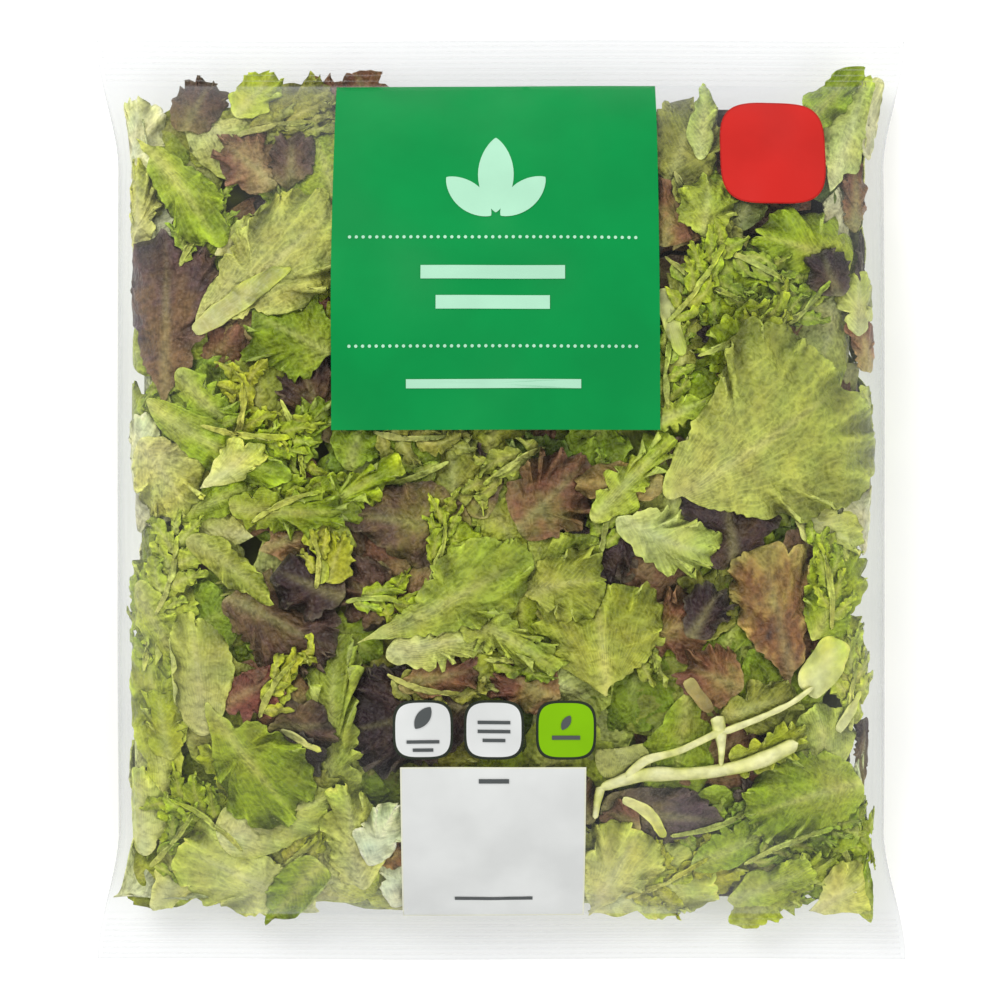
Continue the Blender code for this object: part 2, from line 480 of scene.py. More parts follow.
# What all leaves share as they grow, in millimetres where it isn't a share of the leaf
growth = {
    "smoothBase": 0.30,        # share of the length over which lobes and teeth begin
    "curlStart": (0.15, 0.45),  # where ruffles begin, and over what share of the length
    "ringGather": 0.85,        # under 1: rings of points gather towards the margin
    "ringGap": 1.45,           # between rings, in steps along the margin
    "drift": (2.2, 31),        # uneven spacing along the margin: size and length
    "lobeDrift": (0.24, 2.3),
    "lobeChange": (0.7, 2.9),
    "toothChange": (0.6, 23),
    "fineCurl": (2.2, 3.0),
    "swing": 0.40,             # how far ruffles move the margin sideways
    "drawIn": 0.35,            # how far ruffles draw the margin in
    "swell": (1.3, 13),        # slow waves of the blade: height and length
    "crinkleLength": 4.6,
    "ribHalf": 1.3,
}
fullTurn = 6.3                 # a little over 2 pi, for a start anywhere on a wave


def newStack():
    # how deep the leaves lie so far, over the whole bag
    return np.full(leafRoom["cells"], leafRoom["emptyDepth"])


def layUnder(stack, x, y, depth):
    # keeps a leaf below those that already lie on it, then counts it in; all in millimetres
    cell, margin = leafRoom["cell"], 5
    column = np.clip(x / cell + stack.shape[1] / 2, 1, stack.shape[1] - 3)
    row = np.clip(y / cell + stack.shape[0] / 2, 1, stack.shape[0] - 3)
    left, right = max(int(column.min()) - margin, 0), int(column.max()) + margin + 2
    bottom, top = max(int(row.min()) - margin, 0), int(row.max()) + margin + 2
    near = stack[bottom:top, left:right].copy()
    for _ in range(3):
        for axis in (0, 1):
            for step in (-1, 1):
                near = np.maximum(near, np.roll(near, step, axis) - leafRoom["steepest"] * cell)
    columnHere, rowHere = column - left, row - bottom
    columnBase = np.clip(columnHere.astype(int), 0, near.shape[1] - 2)
    rowBase = np.clip(rowHere.astype(int), 0, near.shape[0] - 2)
    u, v = columnHere - columnBase, rowHere - rowBase
    above = ((near[rowBase, columnBase] * (1 - u) + near[rowBase, columnBase + 1] * u) * (1 - v)
             + (near[rowBase + 1, columnBase] * (1 - u) + near[rowBase + 1, columnBase + 1] * u) * v)
    above = above + leafRoom["clearance"]
    depth = 0.5 * (above + depth + np.sqrt((above - depth) ** 2 + 0.16))
    between = [(grid[1:] + grid[:-1]) / 2 for grid in (row, column, depth)]
    for rowAt, columnAt, deep in ((row, column, depth), between):
        np.maximum.at(stack, (np.rint(rowAt).astype(int), np.rint(columnAt).astype(int)), deep)
    return depth


def wavesOf(rng, x, y, size, count=5):
    # smooth uneven field between about -1 and 1
    total = np.zeros_like(x)
    for _ in range(count):
        heading = rng.uniform(0, 2 * np.pi)
        pace = 2 * np.pi / (size * rng.uniform(0.7, 1.5))
        total += np.sin((x * math.cos(heading) + y * math.sin(heading)) * pace + rng.uniform(0, fullTurn))
    return total / math.sqrt(count)


def rippleOf(rng, spots, length):
    return np.sin(2 * np.pi * spots / length + rng.uniform(0, fullTurn))


def marginOf(kind, length, width, step, rng):
    # closed outline in even steps: a along the leaf from its base, b across it, all in millimetres
    made = kinds[kind]
    turn = np.linspace(0, 2 * np.pi, 721)
    share = (1 - np.cos(turn)) / 2
    widest = made["base"] / (made["base"] + made["tip"])
    wide = (share / widest) ** made["base"] * ((1 - share) / (1 - widest)) ** made["tip"]
    a = length * share
    b = -width / 2 * wide * np.sign(np.sin(turn))
    uneven = 1 + sum(rng.uniform(-0.055, 0.055) * np.sin(order * turn + rng.uniform(0, fullTurn))
                     for order in (2, 3, 4, 5))
    a = length * widest + (a - length * widest) * uneven
    b = b * uneven
    run = np.concatenate([[0], np.cumsum(np.hypot(np.diff(a), np.diff(b)))])
    count = max(int(run[-1] / step), 20)
    spots = run[-1] * np.arange(count) / count
    return np.interp(spots, run, a), np.interp(spots, run, b), spots


def jagsOf(made, spots, drift, rng):
    # lobes and teeth along the margin, in millimetres
    lobeGap, lobeDepth = made["lobe"]
    toothGap, toothDepth = made["tooth"]
    driftSize, driftLength = growth["lobeDrift"]
    lobeSpot = drift + driftSize * lobeGap * rippleOf(rng, spots, driftLength * lobeGap)
    lobe = 2 * np.abs(np.sin(np.pi * lobeSpot / lobeGap + rng.uniform(0, fullTurn))) ** 0.8 - 1
    change, changeLength = growth["lobeChange"]
    lobe = lobe * (1 + change * rippleOf(rng, spots, changeLength * lobeGap))
    tooth = np.sin(2 * np.pi * drift / toothGap + rng.uniform(0, fullTurn) + 1.4 * np.sin(spots / 2.7))
    change, changeLength = growth["toothChange"]
    fickle = 1 + change * rippleOf(rng, spots, changeLength)
    return lobeDepth * lobe + fickle * toothDepth * tooth


def rufflesOf(made, spots, drift, fromMargin, reach, share, curly, step, rng):
    # ruffles in up to three sizes: how high the blade is lifted, and how far it swings sideways
    lift = np.zeros_like(fromMargin)
    swing = np.zeros_like(fromMargin)
    gap = made["ruffle"][0]
    for order, part in enumerate((1.0, 0.55, 0.26)):
        gapHere = gap * 0.56 ** order
        if gapHere < 3.1 * step:
            break
        depth = min(made["reach"], 0.42 * reach.mean()) * 0.66 ** order
        phase = 2 * np.pi * drift / gapHere + rng.uniform(0, fullTurn) + fromMargin * rng.uniform(-0.25, 0.25)
        phase = phase + 0.5 * np.sin(fromMargin / 2.3 + 2 * np.pi * spots / 17 + rng.uniform(0, fullTurn))
        fading = np.exp(-((fromMargin / depth) ** 1.3)) * curly * eased(share / 0.65)
        uneven = 1 + 0.5 * rippleOf(rng, spots, gapHere * 3.7)
        lift += part * fading * uneven * np.sin(phase)
        swing += part * 0.85 ** order * fading * uneven * np.cos(phase)
    return lift, swing


def withMiddle(first, rings):
    # puts the leaf's middle, as a ring of its own, before the other rings
    return np.concatenate([np.broadcast_to(first, rings[:1].shape), rings])


def growthOf(kind, length, width, rng, step):
    # one leaf as rings of points around its middle, along +X from its base
    made = kinds[kind]
    edgeA, edgeB, spots = marginOf(kind, length, width, step, rng)
    middleA = length * made["root"]
    reach = np.hypot(edgeA - middleA, edgeB)
    tangentA = np.roll(edgeA, -1) - np.roll(edgeA, 1)
    tangentB = np.roll(edgeB, -1) - np.roll(edgeB, 1)
    pace = np.hypot(tangentA, tangentB)
    tangentA, tangentB = tangentA / pace, tangentB / pace
    start, run = growth["curlStart"]
    curly = eased((edgeA / length - start) / run)
    fewest = 3 if kind == "fringe" else 5
    rings = int(np.clip(np.percentile(reach, 70) / (step * growth["ringGap"]), fewest, 22))
    share = (np.arange(1, rings + 1) / rings)[:, None] ** growth["ringGather"]
    driftSize, driftLength = growth["drift"]
    drift = spots + driftSize * rippleOf(rng, spots, driftLength)
    jag = eased(edgeA / length / growth["smoothBase"]) * jagsOf(made, spots, drift, rng) * min(1, length / 22)
    fromMargin = (1 - share) * reach[None]
    lift, swing = rufflesOf(made, spots, drift, fromMargin, reach, share, curly, step, rng)
    size = made["ruffle"][1] * min(1, 0.35 + width / 30)
    curlGap = max(rng.uniform(*growth["fineCurl"]), 3.2 * step)
    curl = 2 * np.pi * drift / curlGap + 1.3 * np.sin(spots / 3.1) + fromMargin * rng.uniform(-0.6, 0.6)
    curl = made["tooth"][1] * np.sin(curl) * np.exp(-fromMargin / (0.45 * made["reach"])) * curly
    outward = share ** 5 * jag - growth["drawIn"] * size * np.abs(lift)
    sideways = size * growth["swing"] * swing
    a = middleA + share * (edgeA - middleA)[None] + outward * tangentB + sideways * tangentA
    b = share * edgeB[None] - outward * tangentA + sideways * tangentB
    a, b = withMiddle(middleA, a), withMiddle(0, b)
    lift, curl = withMiddle(lift[0].mean(), lift), withMiddle(0, curl)
    fromMargin = withMiddle(reach.mean(), fromMargin)
    along = np.clip(a / length, 0, 1)
    swell, swellLength = growth["swell"]
    z = size * lift + 0.45 * curl + swell * min(1, width / 22) * wavesOf(rng, a, b, swellLength)
    z = z + made["crinkle"] * wavesOf(rng, a, b, growth["crinkleLength"])
    z = z - made["keel"] * rng.uniform(0.3, 1.5) * (np.hypot(b, 1.0) - 0.3 * width / 2)
    z = z - made["dome"] * (width / 20) * ((2 * b / width) ** 2 - 0.2) * rng.choice((1, 1, 1, -0.5))
    z = z + made["rib"] * np.exp(-((b / growth["ribHalf"]) ** 2)) * (1 - along) ** 0.7
    midribHalf = made["midrib"] * (1.05 - 0.85 * along) + 0.15
    midrib = np.exp(-((b / midribHalf) ** 2)) * (1 - along ** 3)
    # the fifth value, ruffle lift with the fine curls, later sets painted shade and highlight in the tints
    return a, b, z, along, lift + 1.9 * curl, fromMargin, midrib


def foldOver(a, b, z, line):
    # rolls what lies past a line over onto the leaf: heading of the line's outer side, and distance
    heading, distance = math.radians(line[0]), line[1]
    out = a * math.cos(heading) + b * math.sin(heading) - distance
    radius = 1.1
    past = np.maximum(out, 0)
    half = np.pi * radius
    rolled = np.where(past < half, radius * np.sin(past / radius), half - past)
    rise = np.where(past < half, radius * (1 - np.cos(past / radius)), 2 * radius + 0.1 * (past - half))
    shift = np.where(out > 0, rolled - out, 0)
    turned = eased((past - 1.2 * radius) / (0.8 * radius))
    return a + shift * math.cos(heading), b + shift * math.sin(heading), z * (1 - 1.6 * turned) + rise, turned


# How a leaf is coloured: how patchy and speckled it is and its rib's share, where it is ruddy or
# green, and its under side as its own share and the share of another tint
smoothPalettes = ("cream", "milk", "paleHeart", "broadGreen", "softGreen", "whiteGreen")
leafColour = {
    "ruddy": (0.20, 0.11, 0.45),
    "green": (0.09, 0.02, 0.70),
    "smoothPatches": 0.04,
    "shade": (0.67, 0.82),         # each leaf's own, between these
    # painted shade for leaves lying deeper behind the film: its start, darkest and brightest factor
    "depthShade": (1.16, 0.38, 1.08),
    "ribTint": (214, 216, 136),
    "greenUnder": (0.72, 0.26, (206, 212, 140)),
    "ruddyUnder": (0.85, 0.06, (190, 186, 120)),
    # painted highlight added along the leaf margins
    "paintedRimHighlight": (0.05, 0.055, 0.025),
}


def leafTints(palette, a, b, along, lift, fromMargin, turned, midrib, depth, rng):
    stops = linear(palettes[palette])
    nature = "ruddy" if stops[3][0] > stops[3][1] else "green"
    patchy, speckled, ribShare = leafColour[nature]
    if palette in smoothPalettes:
        patchy = leafColour["smoothPatches"]
    blotch = wavesOf(rng, a, b, 12)
    fine = wavesOf(rng, a, b, 3.4)
    rung = 0.04 + along * 0.76 + patchy * blotch + speckled * fine + 0.26 * np.exp(-fromMargin / 2.6)
    rung = np.clip(rung, 0, 1) * (len(stops) - 1)
    tints = np.stack([np.interp(rung, range(len(stops)), stops[:, band]) for band in range(3)], axis=-1)
    ribTint = 0.5 * stops[0] + 0.5 * linear(leafColour["ribTint"])
    tints = tints + (ribTint - tints) * (ribShare * midrib)[..., None]
    # painted shade and highlight: ruffle crests and fine curls lighter, troughs darker; fine and blotch add
    # random mottling
    shade = 1 + 0.34 * np.clip(lift, -1.4, 1.4) + 0.10 * fine + 0.12 * blotch
    warm = rng.uniform(-0.05, 0.05) + 0.035 * wavesOf(rng, a, b, 9)
    tints = tints * (shade * rng.uniform(*leafColour["shade"]))[..., None]
    tints = tints * np.stack([1 + warm, np.ones_like(warm), 1 - warm], axis=-1)
    # painted highlight: the margins made lighter and yellower
    rim = np.exp(-fromMargin / 0.6)[..., None]
    tints = tints * (1 + 0.34 * rim) + np.array(leafColour["paintedRimHighlight"]) * rim
    own, added, addedTint = leafColour[nature + "Under"]
    under = tints * own + linear(addedTint) * added
    tints = tints + (under - tints) * turned[..., None]
    # painted shade: the deeper a leaf lies behind the film, the darker its tints
    start, least, most = leafColour["depthShade"]
    deep = np.clip(start - leafRoom["paintedShadeWithDepth"] * depth, least, most)[..., None]
    return np.clip(tints * deep, 0.004, 0.9), np.clip(under * deep, 0.004, 0.9)


def softStop(distance, room):
    # lets a distance run on ever more slowly, up to the room there is
    return room * (1 - np.exp(-distance / room))


def settle(x, y, depth, front, sideGap, endReach):
    # turns leaves down at the sides, and keeps them between the two films
    turnDown, endRoom, soft = leafRoom["turnDown"], 0.004, 0.0007
    start = halfWidth(y) - sideGap - turnDown
    over = np.maximum(np.abs(x) - start, 0)
    kept = softStop(over, turnDown)
    depth = depth + 0.9 * (over - kept)
    x = np.where(over > 0, np.sign(x) * (start + kept), x)
    endStart = endReach - endRoom
    overEnd = np.maximum(np.abs(y) - endStart, 0)
    y = np.where(overEnd > 0, np.sign(y) * (endStart + softStop(overEnd, endRoom)), y)
    top, low = filmHeights(x, y)
    gap = np.minimum(leafRoom["filmGap"], 0.28 * (top - low))
    room = np.maximum(top - low - 2 * gap, 0.0001)
    depth = 0.5 * (depth + np.sqrt(depth ** 2 + soft ** 2))
    sunk = softStop(depth, room)
    if front:
        return x, y, top - gap - sunk
    return x, y, low + gap + sunk


def addRings(heap, points, tints, underTints, uvs, thickness, flip):
    # closes a sheet of rings around a middle point into a thin leaf: the first ring is the middle
    rings, count = points.shape[0] - 1, points.shape[1]
    outward = np.gradient(points, axis=0)
    around = np.roll(points, -1, axis=1) - np.roll(points, 1, axis=1)
    normals = np.cross(outward, around) * (-1 if flip else 1)
    normals[0] = normals[1].mean(axis=0)
    normals = normals / np.maximum(np.linalg.norm(normals, axis=-1), 1e-9)[..., None]
    lower = points - normals * thickness
    place, after = aroundRing(count)
    faces = [np.stack([np.zeros(count, int), 1 + place, 1 + after], axis=-1)]
    for ring in range(rings - 1):
        faces += bandFaces(1 + ring * count, 1 + (ring + 1) * count, place, after)
    upper = np.concatenate(faces)
    total = 1 + rings * count
    rim = 1 + (rings - 1) * count
    faces = np.concatenate([upper, upper[:, ::-1] + total, *bandFaces(rim, rim + total, place, after)])
    if flip:
        faces = faces[:, ::-1]

    def gathered(*grids):
        return [np.concatenate([grid[0, :1], grid[1:].reshape(-1, grid.shape[-1])]) for grid in grids]

    addToHeap(heap, faces, gathered(points, lower), gathered(tints, underTints), gathered(uvs, uvs))


def veinCourse(kind, length, a, b):
    # counts side veins over the leaf: they fan out from near its base, or leave its rib at a slant
    if kind in ("fan", "sail"):
        return np.degrees(np.arctan2(b, a + 0.08 * length)) / 8.0
    if kind in ("tongue", "strap", "feather"):
        return np.degrees(np.arctan2(b, a + 0.5 * length)) / 4.0
    return (a - 1.15 * np.abs(b) + 0.9 * np.sign(b)) / 4.6


def growLeaf(heap, stack, kind, x, y, heading, length, width, palette, depths, bend=0, fold=None, seed=0,
             front=True, step=None, edges=((0.0012, 0.0058), (0.118, 0.121))):
    rng = np.random.default_rng(seed)
    step = step or kinds[kind]["step"]
    a, b, z, along, lift, fromMargin, midrib = growthOf(kind, length, width, rng, step)
    uvs = np.stack([veinCourse(kind, length, a, b), along], axis=-1)
    sink = depths[0] + (depths[1] - depths[0]) * along
    if len(depths) > 2:
        sink = sink + depths[2] * 2 * b / width
    turned = np.zeros_like(a)
    if fold:
        a, b, z, turned = foldOver(a, b, z, fold)
    flatA, flatB = a, b
    if bend:
        curve = math.radians(bend) / length
        turn = curve * a
        a, b = np.sin(turn) / curve - b * np.sin(turn), (1 - np.cos(turn)) / curve + b * np.cos(turn)
    turn = math.radians(heading)
    placeX = x + a * math.cos(turn) - b * math.sin(turn)
    placeY = y + a * math.sin(turn) + b * math.cos(turn)
    depth = layUnder(stack, placeX, placeY, np.maximum(sink - z, 0))
    depth = softStop(depth, leafRoom["heapDepth"])
    tints, under = leafTints(palette, flatA, flatB, along, lift, fromMargin, turned, midrib, depth, rng)
    sideGap, endReach = rng.uniform(*edges[0]), rng.uniform(*edges[1])
    points = np.stack(settle(placeX / 1000, placeY / 1000, depth / 1000, front, sideGap, endReach), axis=-1)
    addRings(heap, points, tints, under, uvs, leafRoom["thickness"], not front)


def heapPiece(name, heap, material):
    grids = [np.concatenate(heap[part]) for part in ("points", "faces")]
    tints, uvs = np.concatenate(heap["tints"]), np.concatenate(heap["uvs"])
    piece = makePiece(name, *grids, material, tints, uvs)
    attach(piece, "root")
    print(name, "has", len(grids[1]), "triangles")


# Veins' share in the colour, roughness, blisters for each metre, their relief, and mottling
leafSkins = {
    "broadLeafSkin": (0.66, 0.44, 430.0, 0.78, 0.24),
    "curlyLeafSkin": (0.42, 0.46, 480.0, 0.80, 0.30),
    "redLeafSkin": (0.32, 0.42, 460.0, 0.80, 0.32),
    "heartLeafSkin": (0.46, 0.40, 340.0, 0.70, 0.13),
    "cutRibSkin": (0.35, 0.34, 500.0, 0.30, 0.08),
}


def leafSkin(name):
    # colour from the leaf's own tint, with veins that follow its growth and small blisters between
    veinShare, roughness, blisters, relief, mottling = leafSkins[name]
    material, tree = blankMaterial(name)
    tint = addNode(tree, "ShaderNodeVertexColor", layer_name="tint").outputs[0]
    grown = addNode(tree, "ShaderNodeUVMap", uv_map="leafMap").outputs[0]
    course = addNode(tree, "ShaderNodeSeparateXYZ", {0: grown}).outputs[0]
    wander = maths(tree, "MULTIPLY_ADD", noise(tree, 170.0, 0.0), 0.6, course)
    sideVein = carried(tree, maths(tree, "PINGPONG", wander, 0.5), (0.0, 0.11), (1.0, 0.0), "SMOOTHSTEP")
    finer = maths(tree, "PINGPONG", maths(tree, "MULTIPLY", wander, 3.0), 0.5)
    fineVein = carried(tree, finer, (0.0, 0.28), (0.75, 0.0), "SMOOTHSTEP")
    sizes = {"Vector": objectPlace(tree), "Scale": blisters, "Randomness": 0.9}
    cells = addNode(tree, "ShaderNodeTexVoronoi", sizes, feature="F1").outputs["Distance"]
    net = carried(tree, cells, (0.42, 0.80), (0.0, 0.65), "SMOOTHSTEP")
    veins = maths(tree, "MAXIMUM", sideVein, maths(tree, "MAXIMUM", fineVein, net))
    grain = noise(tree, 620.0, 1.0)
    mottle = carried(tree, grain, (0.3, 0.7), (1 - mottling, 1 + 0.7 * mottling))
    body = addNode(tree, "ShaderNodeVectorMath", {0: tint, "Scale": mottle}, operation="SCALE").outputs[0]
    paler = {0: tint, 1: (1.34, 1.30, 1.26), 2: (0.05, 0.05, 0.015)}
    pale = addNode(tree, "ShaderNodeVectorMath", paler, operation="MULTIPLY_ADD").outputs[0]
    share = maths(tree, "MULTIPLY", veins, veinShare)
    skin = addNode(tree, "ShaderNodeMix", {0: share, 6: body, 7: pale}, data_type="RGBA").outputs[2]
    blister = carried(tree, cells, (0.10, 0.75), (1.0, 0.0), "SMOOTHSTEP")
    height = maths(tree, "MULTIPLY_ADD", grain, 2.2, blister)
    normal = bump(tree, relief, 0.0008, height)
    return finishMaterial(material, paint(tree, skin, roughness, 0.28, Normal=normal))


# Leaves against the front film, where they lie: kind, base across and along, heading, length,
# width, palette, depth of base and of tip (and how much one side lies deeper), bend, fold line
greenLeaves = (
    ("fan", 44, -1, 31, 59, 54, "broadGreen", (0.2, 0.9, 0.3), 6),
    ("fan", -60, 10, 152, 34, 24, "midGreen", (0.8, 0.8, 0.6), -14),
    ("sail", -36, -37, 22, 50, 20, "softGreen", (0.1, 0.5, 0.3), 12),
    ("oak", 6, -24, 10, 22, 17, "paleOlive", (0.3, 0.5)),
    ("fan", 28, -52, 96, 30, 35, "paleOlive", (0.6, 1.2)),
    ("oak", 94, 62, 156, 27, 22, "freshGreen", (1.0, 0.8), 12),
    ("fan", -77, -55, -58, 36, 27, "freshGreen", (0.2, 0.7), 10),
    ("sail", -99, 98, -42, 38, 15, "freshGreen", (0.2, 0.4, 0.4), -20),
    ("tongue", -90, -4, 12, 31, 9, "midGreen", (0.9, 0.7), 14),
    ("heart", -83, -10, -30, 29, 9, "paleOlive", (0.3, 0.3), -14),
    ("oak", -46, -96, 91, 62, 14, "paleOlive", (0.9, 0.4, 0.5), -8),
    ("tongue", 88, -75, 98, 21, 16, "broadGreen", (0.6, 0.3), 8),
    ("heart", 53, 92, 80, 22, 7, "broadGreen", (0.6, 0.2), 8),
    ("tongue", 73, 96, 30, 36, 9, "midGreen", (0.3, 0.1), 30),
    ("oak", 45, 84, 72, 25, 21, "olive", (1.2, 1.4)),
    ("tongue", 31, -71, 88, 18, 14, "olive", (0.7, 0.5), 0, (10, 4.5)),
    ("feather", -30, -40, 8, 32, 11, "paleHeart", (0.6, 0.6), 6),
    ("oak", 4, -21, 24, 23, 15, "paleOlive", (0.8, 0.4)),
    ("oak", -26, 3, 84, 17, 16, "midGreen", (1.2, 1.4)),
    ("tongue", 21, 4, 95, 11, 8, "greyGreen", (1.2, 1.2), 0, (0, 2.2)),
    ("feather", 24, -5, 46, 31, 9, "paleLime", (0.5, 0.6)),
    ("feather", 48, 32, 96, 28, 10, "olive", (0.7, 0.6), -10),
    ("oak", 58, -58, 20, 22, 12, "olive", (0.9, 0.9), -8),
    ("oak", 83, -37, 60, 15, 14, "midGreen", (0.6, 0.8)),
    ("frill", -41, 66, 168, 19, 15, "greyGreen", (0.8, 1.2)),
    ("oak", 61, 71, 60, 13, 12, "greyGreen", (1.0, 1.0)),
    ("feather", -66, 2, 52, 34, 10, "midGreen", (1.0, 0.8), -10),
    ("heart", -48, -97, 230, 25, 13, "midGreen", (0.2, 0.2), 0, (92, 3.6)),
    ("tongue", 100, -115, 96, 17, 6, "midGreen", (0.6, 0.6), -20),
    ("tongue", 61, -109, 17, 26, 10, "paleLime", (0.3, 0.3), 14),
    ("heart", -27, 22, 215, 22, 14, "deepGreen", (2.4, 2.8)),
    ("oak", 34, -36, 12, 22, 17, "brownRed", (1.4, 1.6)),
    ("oak", 14, -37, 70, 17, 14, "olive", (0.9, 0.5)),
    ("fan", -82, 45, 37, 52, 30, "whiteGreen", (0.1, 0.9, 0.5), 8),
    ("tongue", -95, 26, -36, 44, 12, "freshGreen", (0.4, 0.3), 18),
)
curlyLeaves = (
    ("frill", -43, 78, 108, 34, 24, "midGreen", (0.7, 1.1, 0.4), 8),
    ("frill", -66, 96, 40, 26, 18, "olive", (0.6, 0.9)),
    ("frill", -62, 76, 24, 22, 18, "olive", (0.8, 1.2)),
    ("frill", -98, 64, 92, 28, 12, "cream", (1.0, 1.4)),
    ("frill", -84, 60, 60, 20, 13, "midGreen", (0.7, 0.9)),
    ("frill", -97, 16, -52, 24, 19, "creamYellow", (0.4, 0.6)),
    ("frill", -44, 38, 152, 26, 23, "midGreen", (1.2, 1.2)),
    ("frill", -70, 50, 74, 22, 19, "midGreen", (1.4, 1.8)),
    ("frill", -60, -6, 84, 15, 14, "brightLime", (0.5, 0.8)),
    ("frill", -13, -19, 84, 14, 14, "brightLime", (0.5, 0.8)),
    ("fringe", -46, -22, 70, 15, 9, "yellowLime", (0.4, 0.6)),
    ("frill", -44, 2, 44, 24, 21, "deepGreen", (1.4, 2.0)),
    ("frill", -12, -2, 95, 19, 19, "olive", (1.4, 1.8)),
    ("frill", -40, 8, 76, 16, 14, "midGreen", (1.0, 1.4)),
    ("frill", 8, 2, 80, 16, 18, "deepGreen", (2.2, 2.6)),
    ("frill", 50, 48, 52, 24, 21, "brightLime", (0.8, 1.2)),
    ("frill", 66, 30, 96, 18, 25, "brightLime", (0.5, 1.0)),
    ("frill", 66, 56, 40, 21, 20, "deepGreen", (1.6, 2.2)),
    ("frill", 42, 22, 62, 16, 18, "freshGreen", (1.4, 2.0)),
    ("feather", 40, 20, 24, 17, 7, "paleLime", (0.6, 0.8)),
    ("sail", 88, 82, 70, 36, 19, "paleHeart", (0.6, 0.4, 0.6)),
    ("frill", 54, 70, 84, 17, 16, "paleLime", (0.8, 1.2)),
    ("frill", 66, 45, 105, 22, 17, "freshGreen", (0.8, 0.8)),
    ("frill", 90, -32, 90, 22, 17, "brightLime", (0.8, 1.0)),
    ("frill", 94, -56, 98, 26, 14, "paleLime", (1.0, 1.4)),
    ("frill", 98, -76, 190, 34, 24, "freshGreen", (0.4, 0.8), 10),
    ("frill", 101, -90, 172, 30, 17, "freshGreen", (0.5, 0.9), -10),
    ("frill", 99, -107, 152, 31, 18, "midGreen", (0.7, 1.2), -10),
    ("fringe", 74, -90, 112, 16, 10, "paleLime", (0.5, 0.7)),
    ("frill", 76, -111, 112, 27, 22, "olive", (1.2, 1.6)),
    ("frill", 52, -110, 74, 26, 20, "yellowLime", (1.0, 1.4)),
    ("frill", -66, -96, 152, 29, 21, "brightLime", (0.6, 1.0)),
    ("fringe", -66, -78, 140, 19, 10, "yellowLime", (0.5, 0.7)),
    ("frill", -57, -87, 56, 19, 16, "olive", (0.8, 1.2)),
    ("oak", -38, -106, 96, 30, 15, "paleHeart", (0.5, 0.8)),
    ("frill", -93, -38, 80, 27, 19, "paleLime", (0.7, 1.0)),
    ("frill", -86, -50, 108, 22, 17, "yellowLime", (1.2, 1.6)),
    ("frill", 50, -36, 62, 20, 18, "olive", (1.4, 1.8)),
    ("frill", -21, -74, 62, 22, 20, "olive", (1.4, 2.0)),
    ("fringe", -61, -55, 70, 16, 8, "yellowLime", (0.6, 0.6)),
    ("frill", 92, -104, 80, 24, 18, "paleLime", (0.8, 1.0)),
    ("frill", 72, -87, 40, 24, 20, "midGreen", (0.8, 1.2)),
)
longLeaves = (
    ("feather", -86, 34, -50, 40, 10, "freshGreen", (0.5, 0.7), 20),
    ("feather", -72, -2, -8, 34, 10, "freshGreen", (0.3, 0.5), 14),
    ("feather", -52, -8, 48, 30, 9, "brightLime", (0.4, 0.8), -30),
    ("feather", 46, 58, -30, 34, 11, "midGreen", (0.8, 1.0), 24),
    ("feather", 58, 24, 62, 30, 9, "yellowLime", (0.4, 0.8), -20),
    ("feather", 52, -98, 22, 42, 12, "midGreen", (0.5, 0.9), 16),
    ("feather", 64, -118, 48, 34, 10, "paleLime", (0.4, 0.5), -18),
    ("feather", 60, -70, 12, 24, 8, "yellowLime", (0.2, 0.4), 20),
    ("feather", -98, -22, -66, 30, 10, "paleLime", (0.4, 0.6), 16),
    ("feather", -14, -30, -16, 34, 9, "paleOlive", (0.4, 0.8), -24),
    ("feather", -66, -34, 104, 24, 7, "olive", (0.7, 0.8), 10),
)
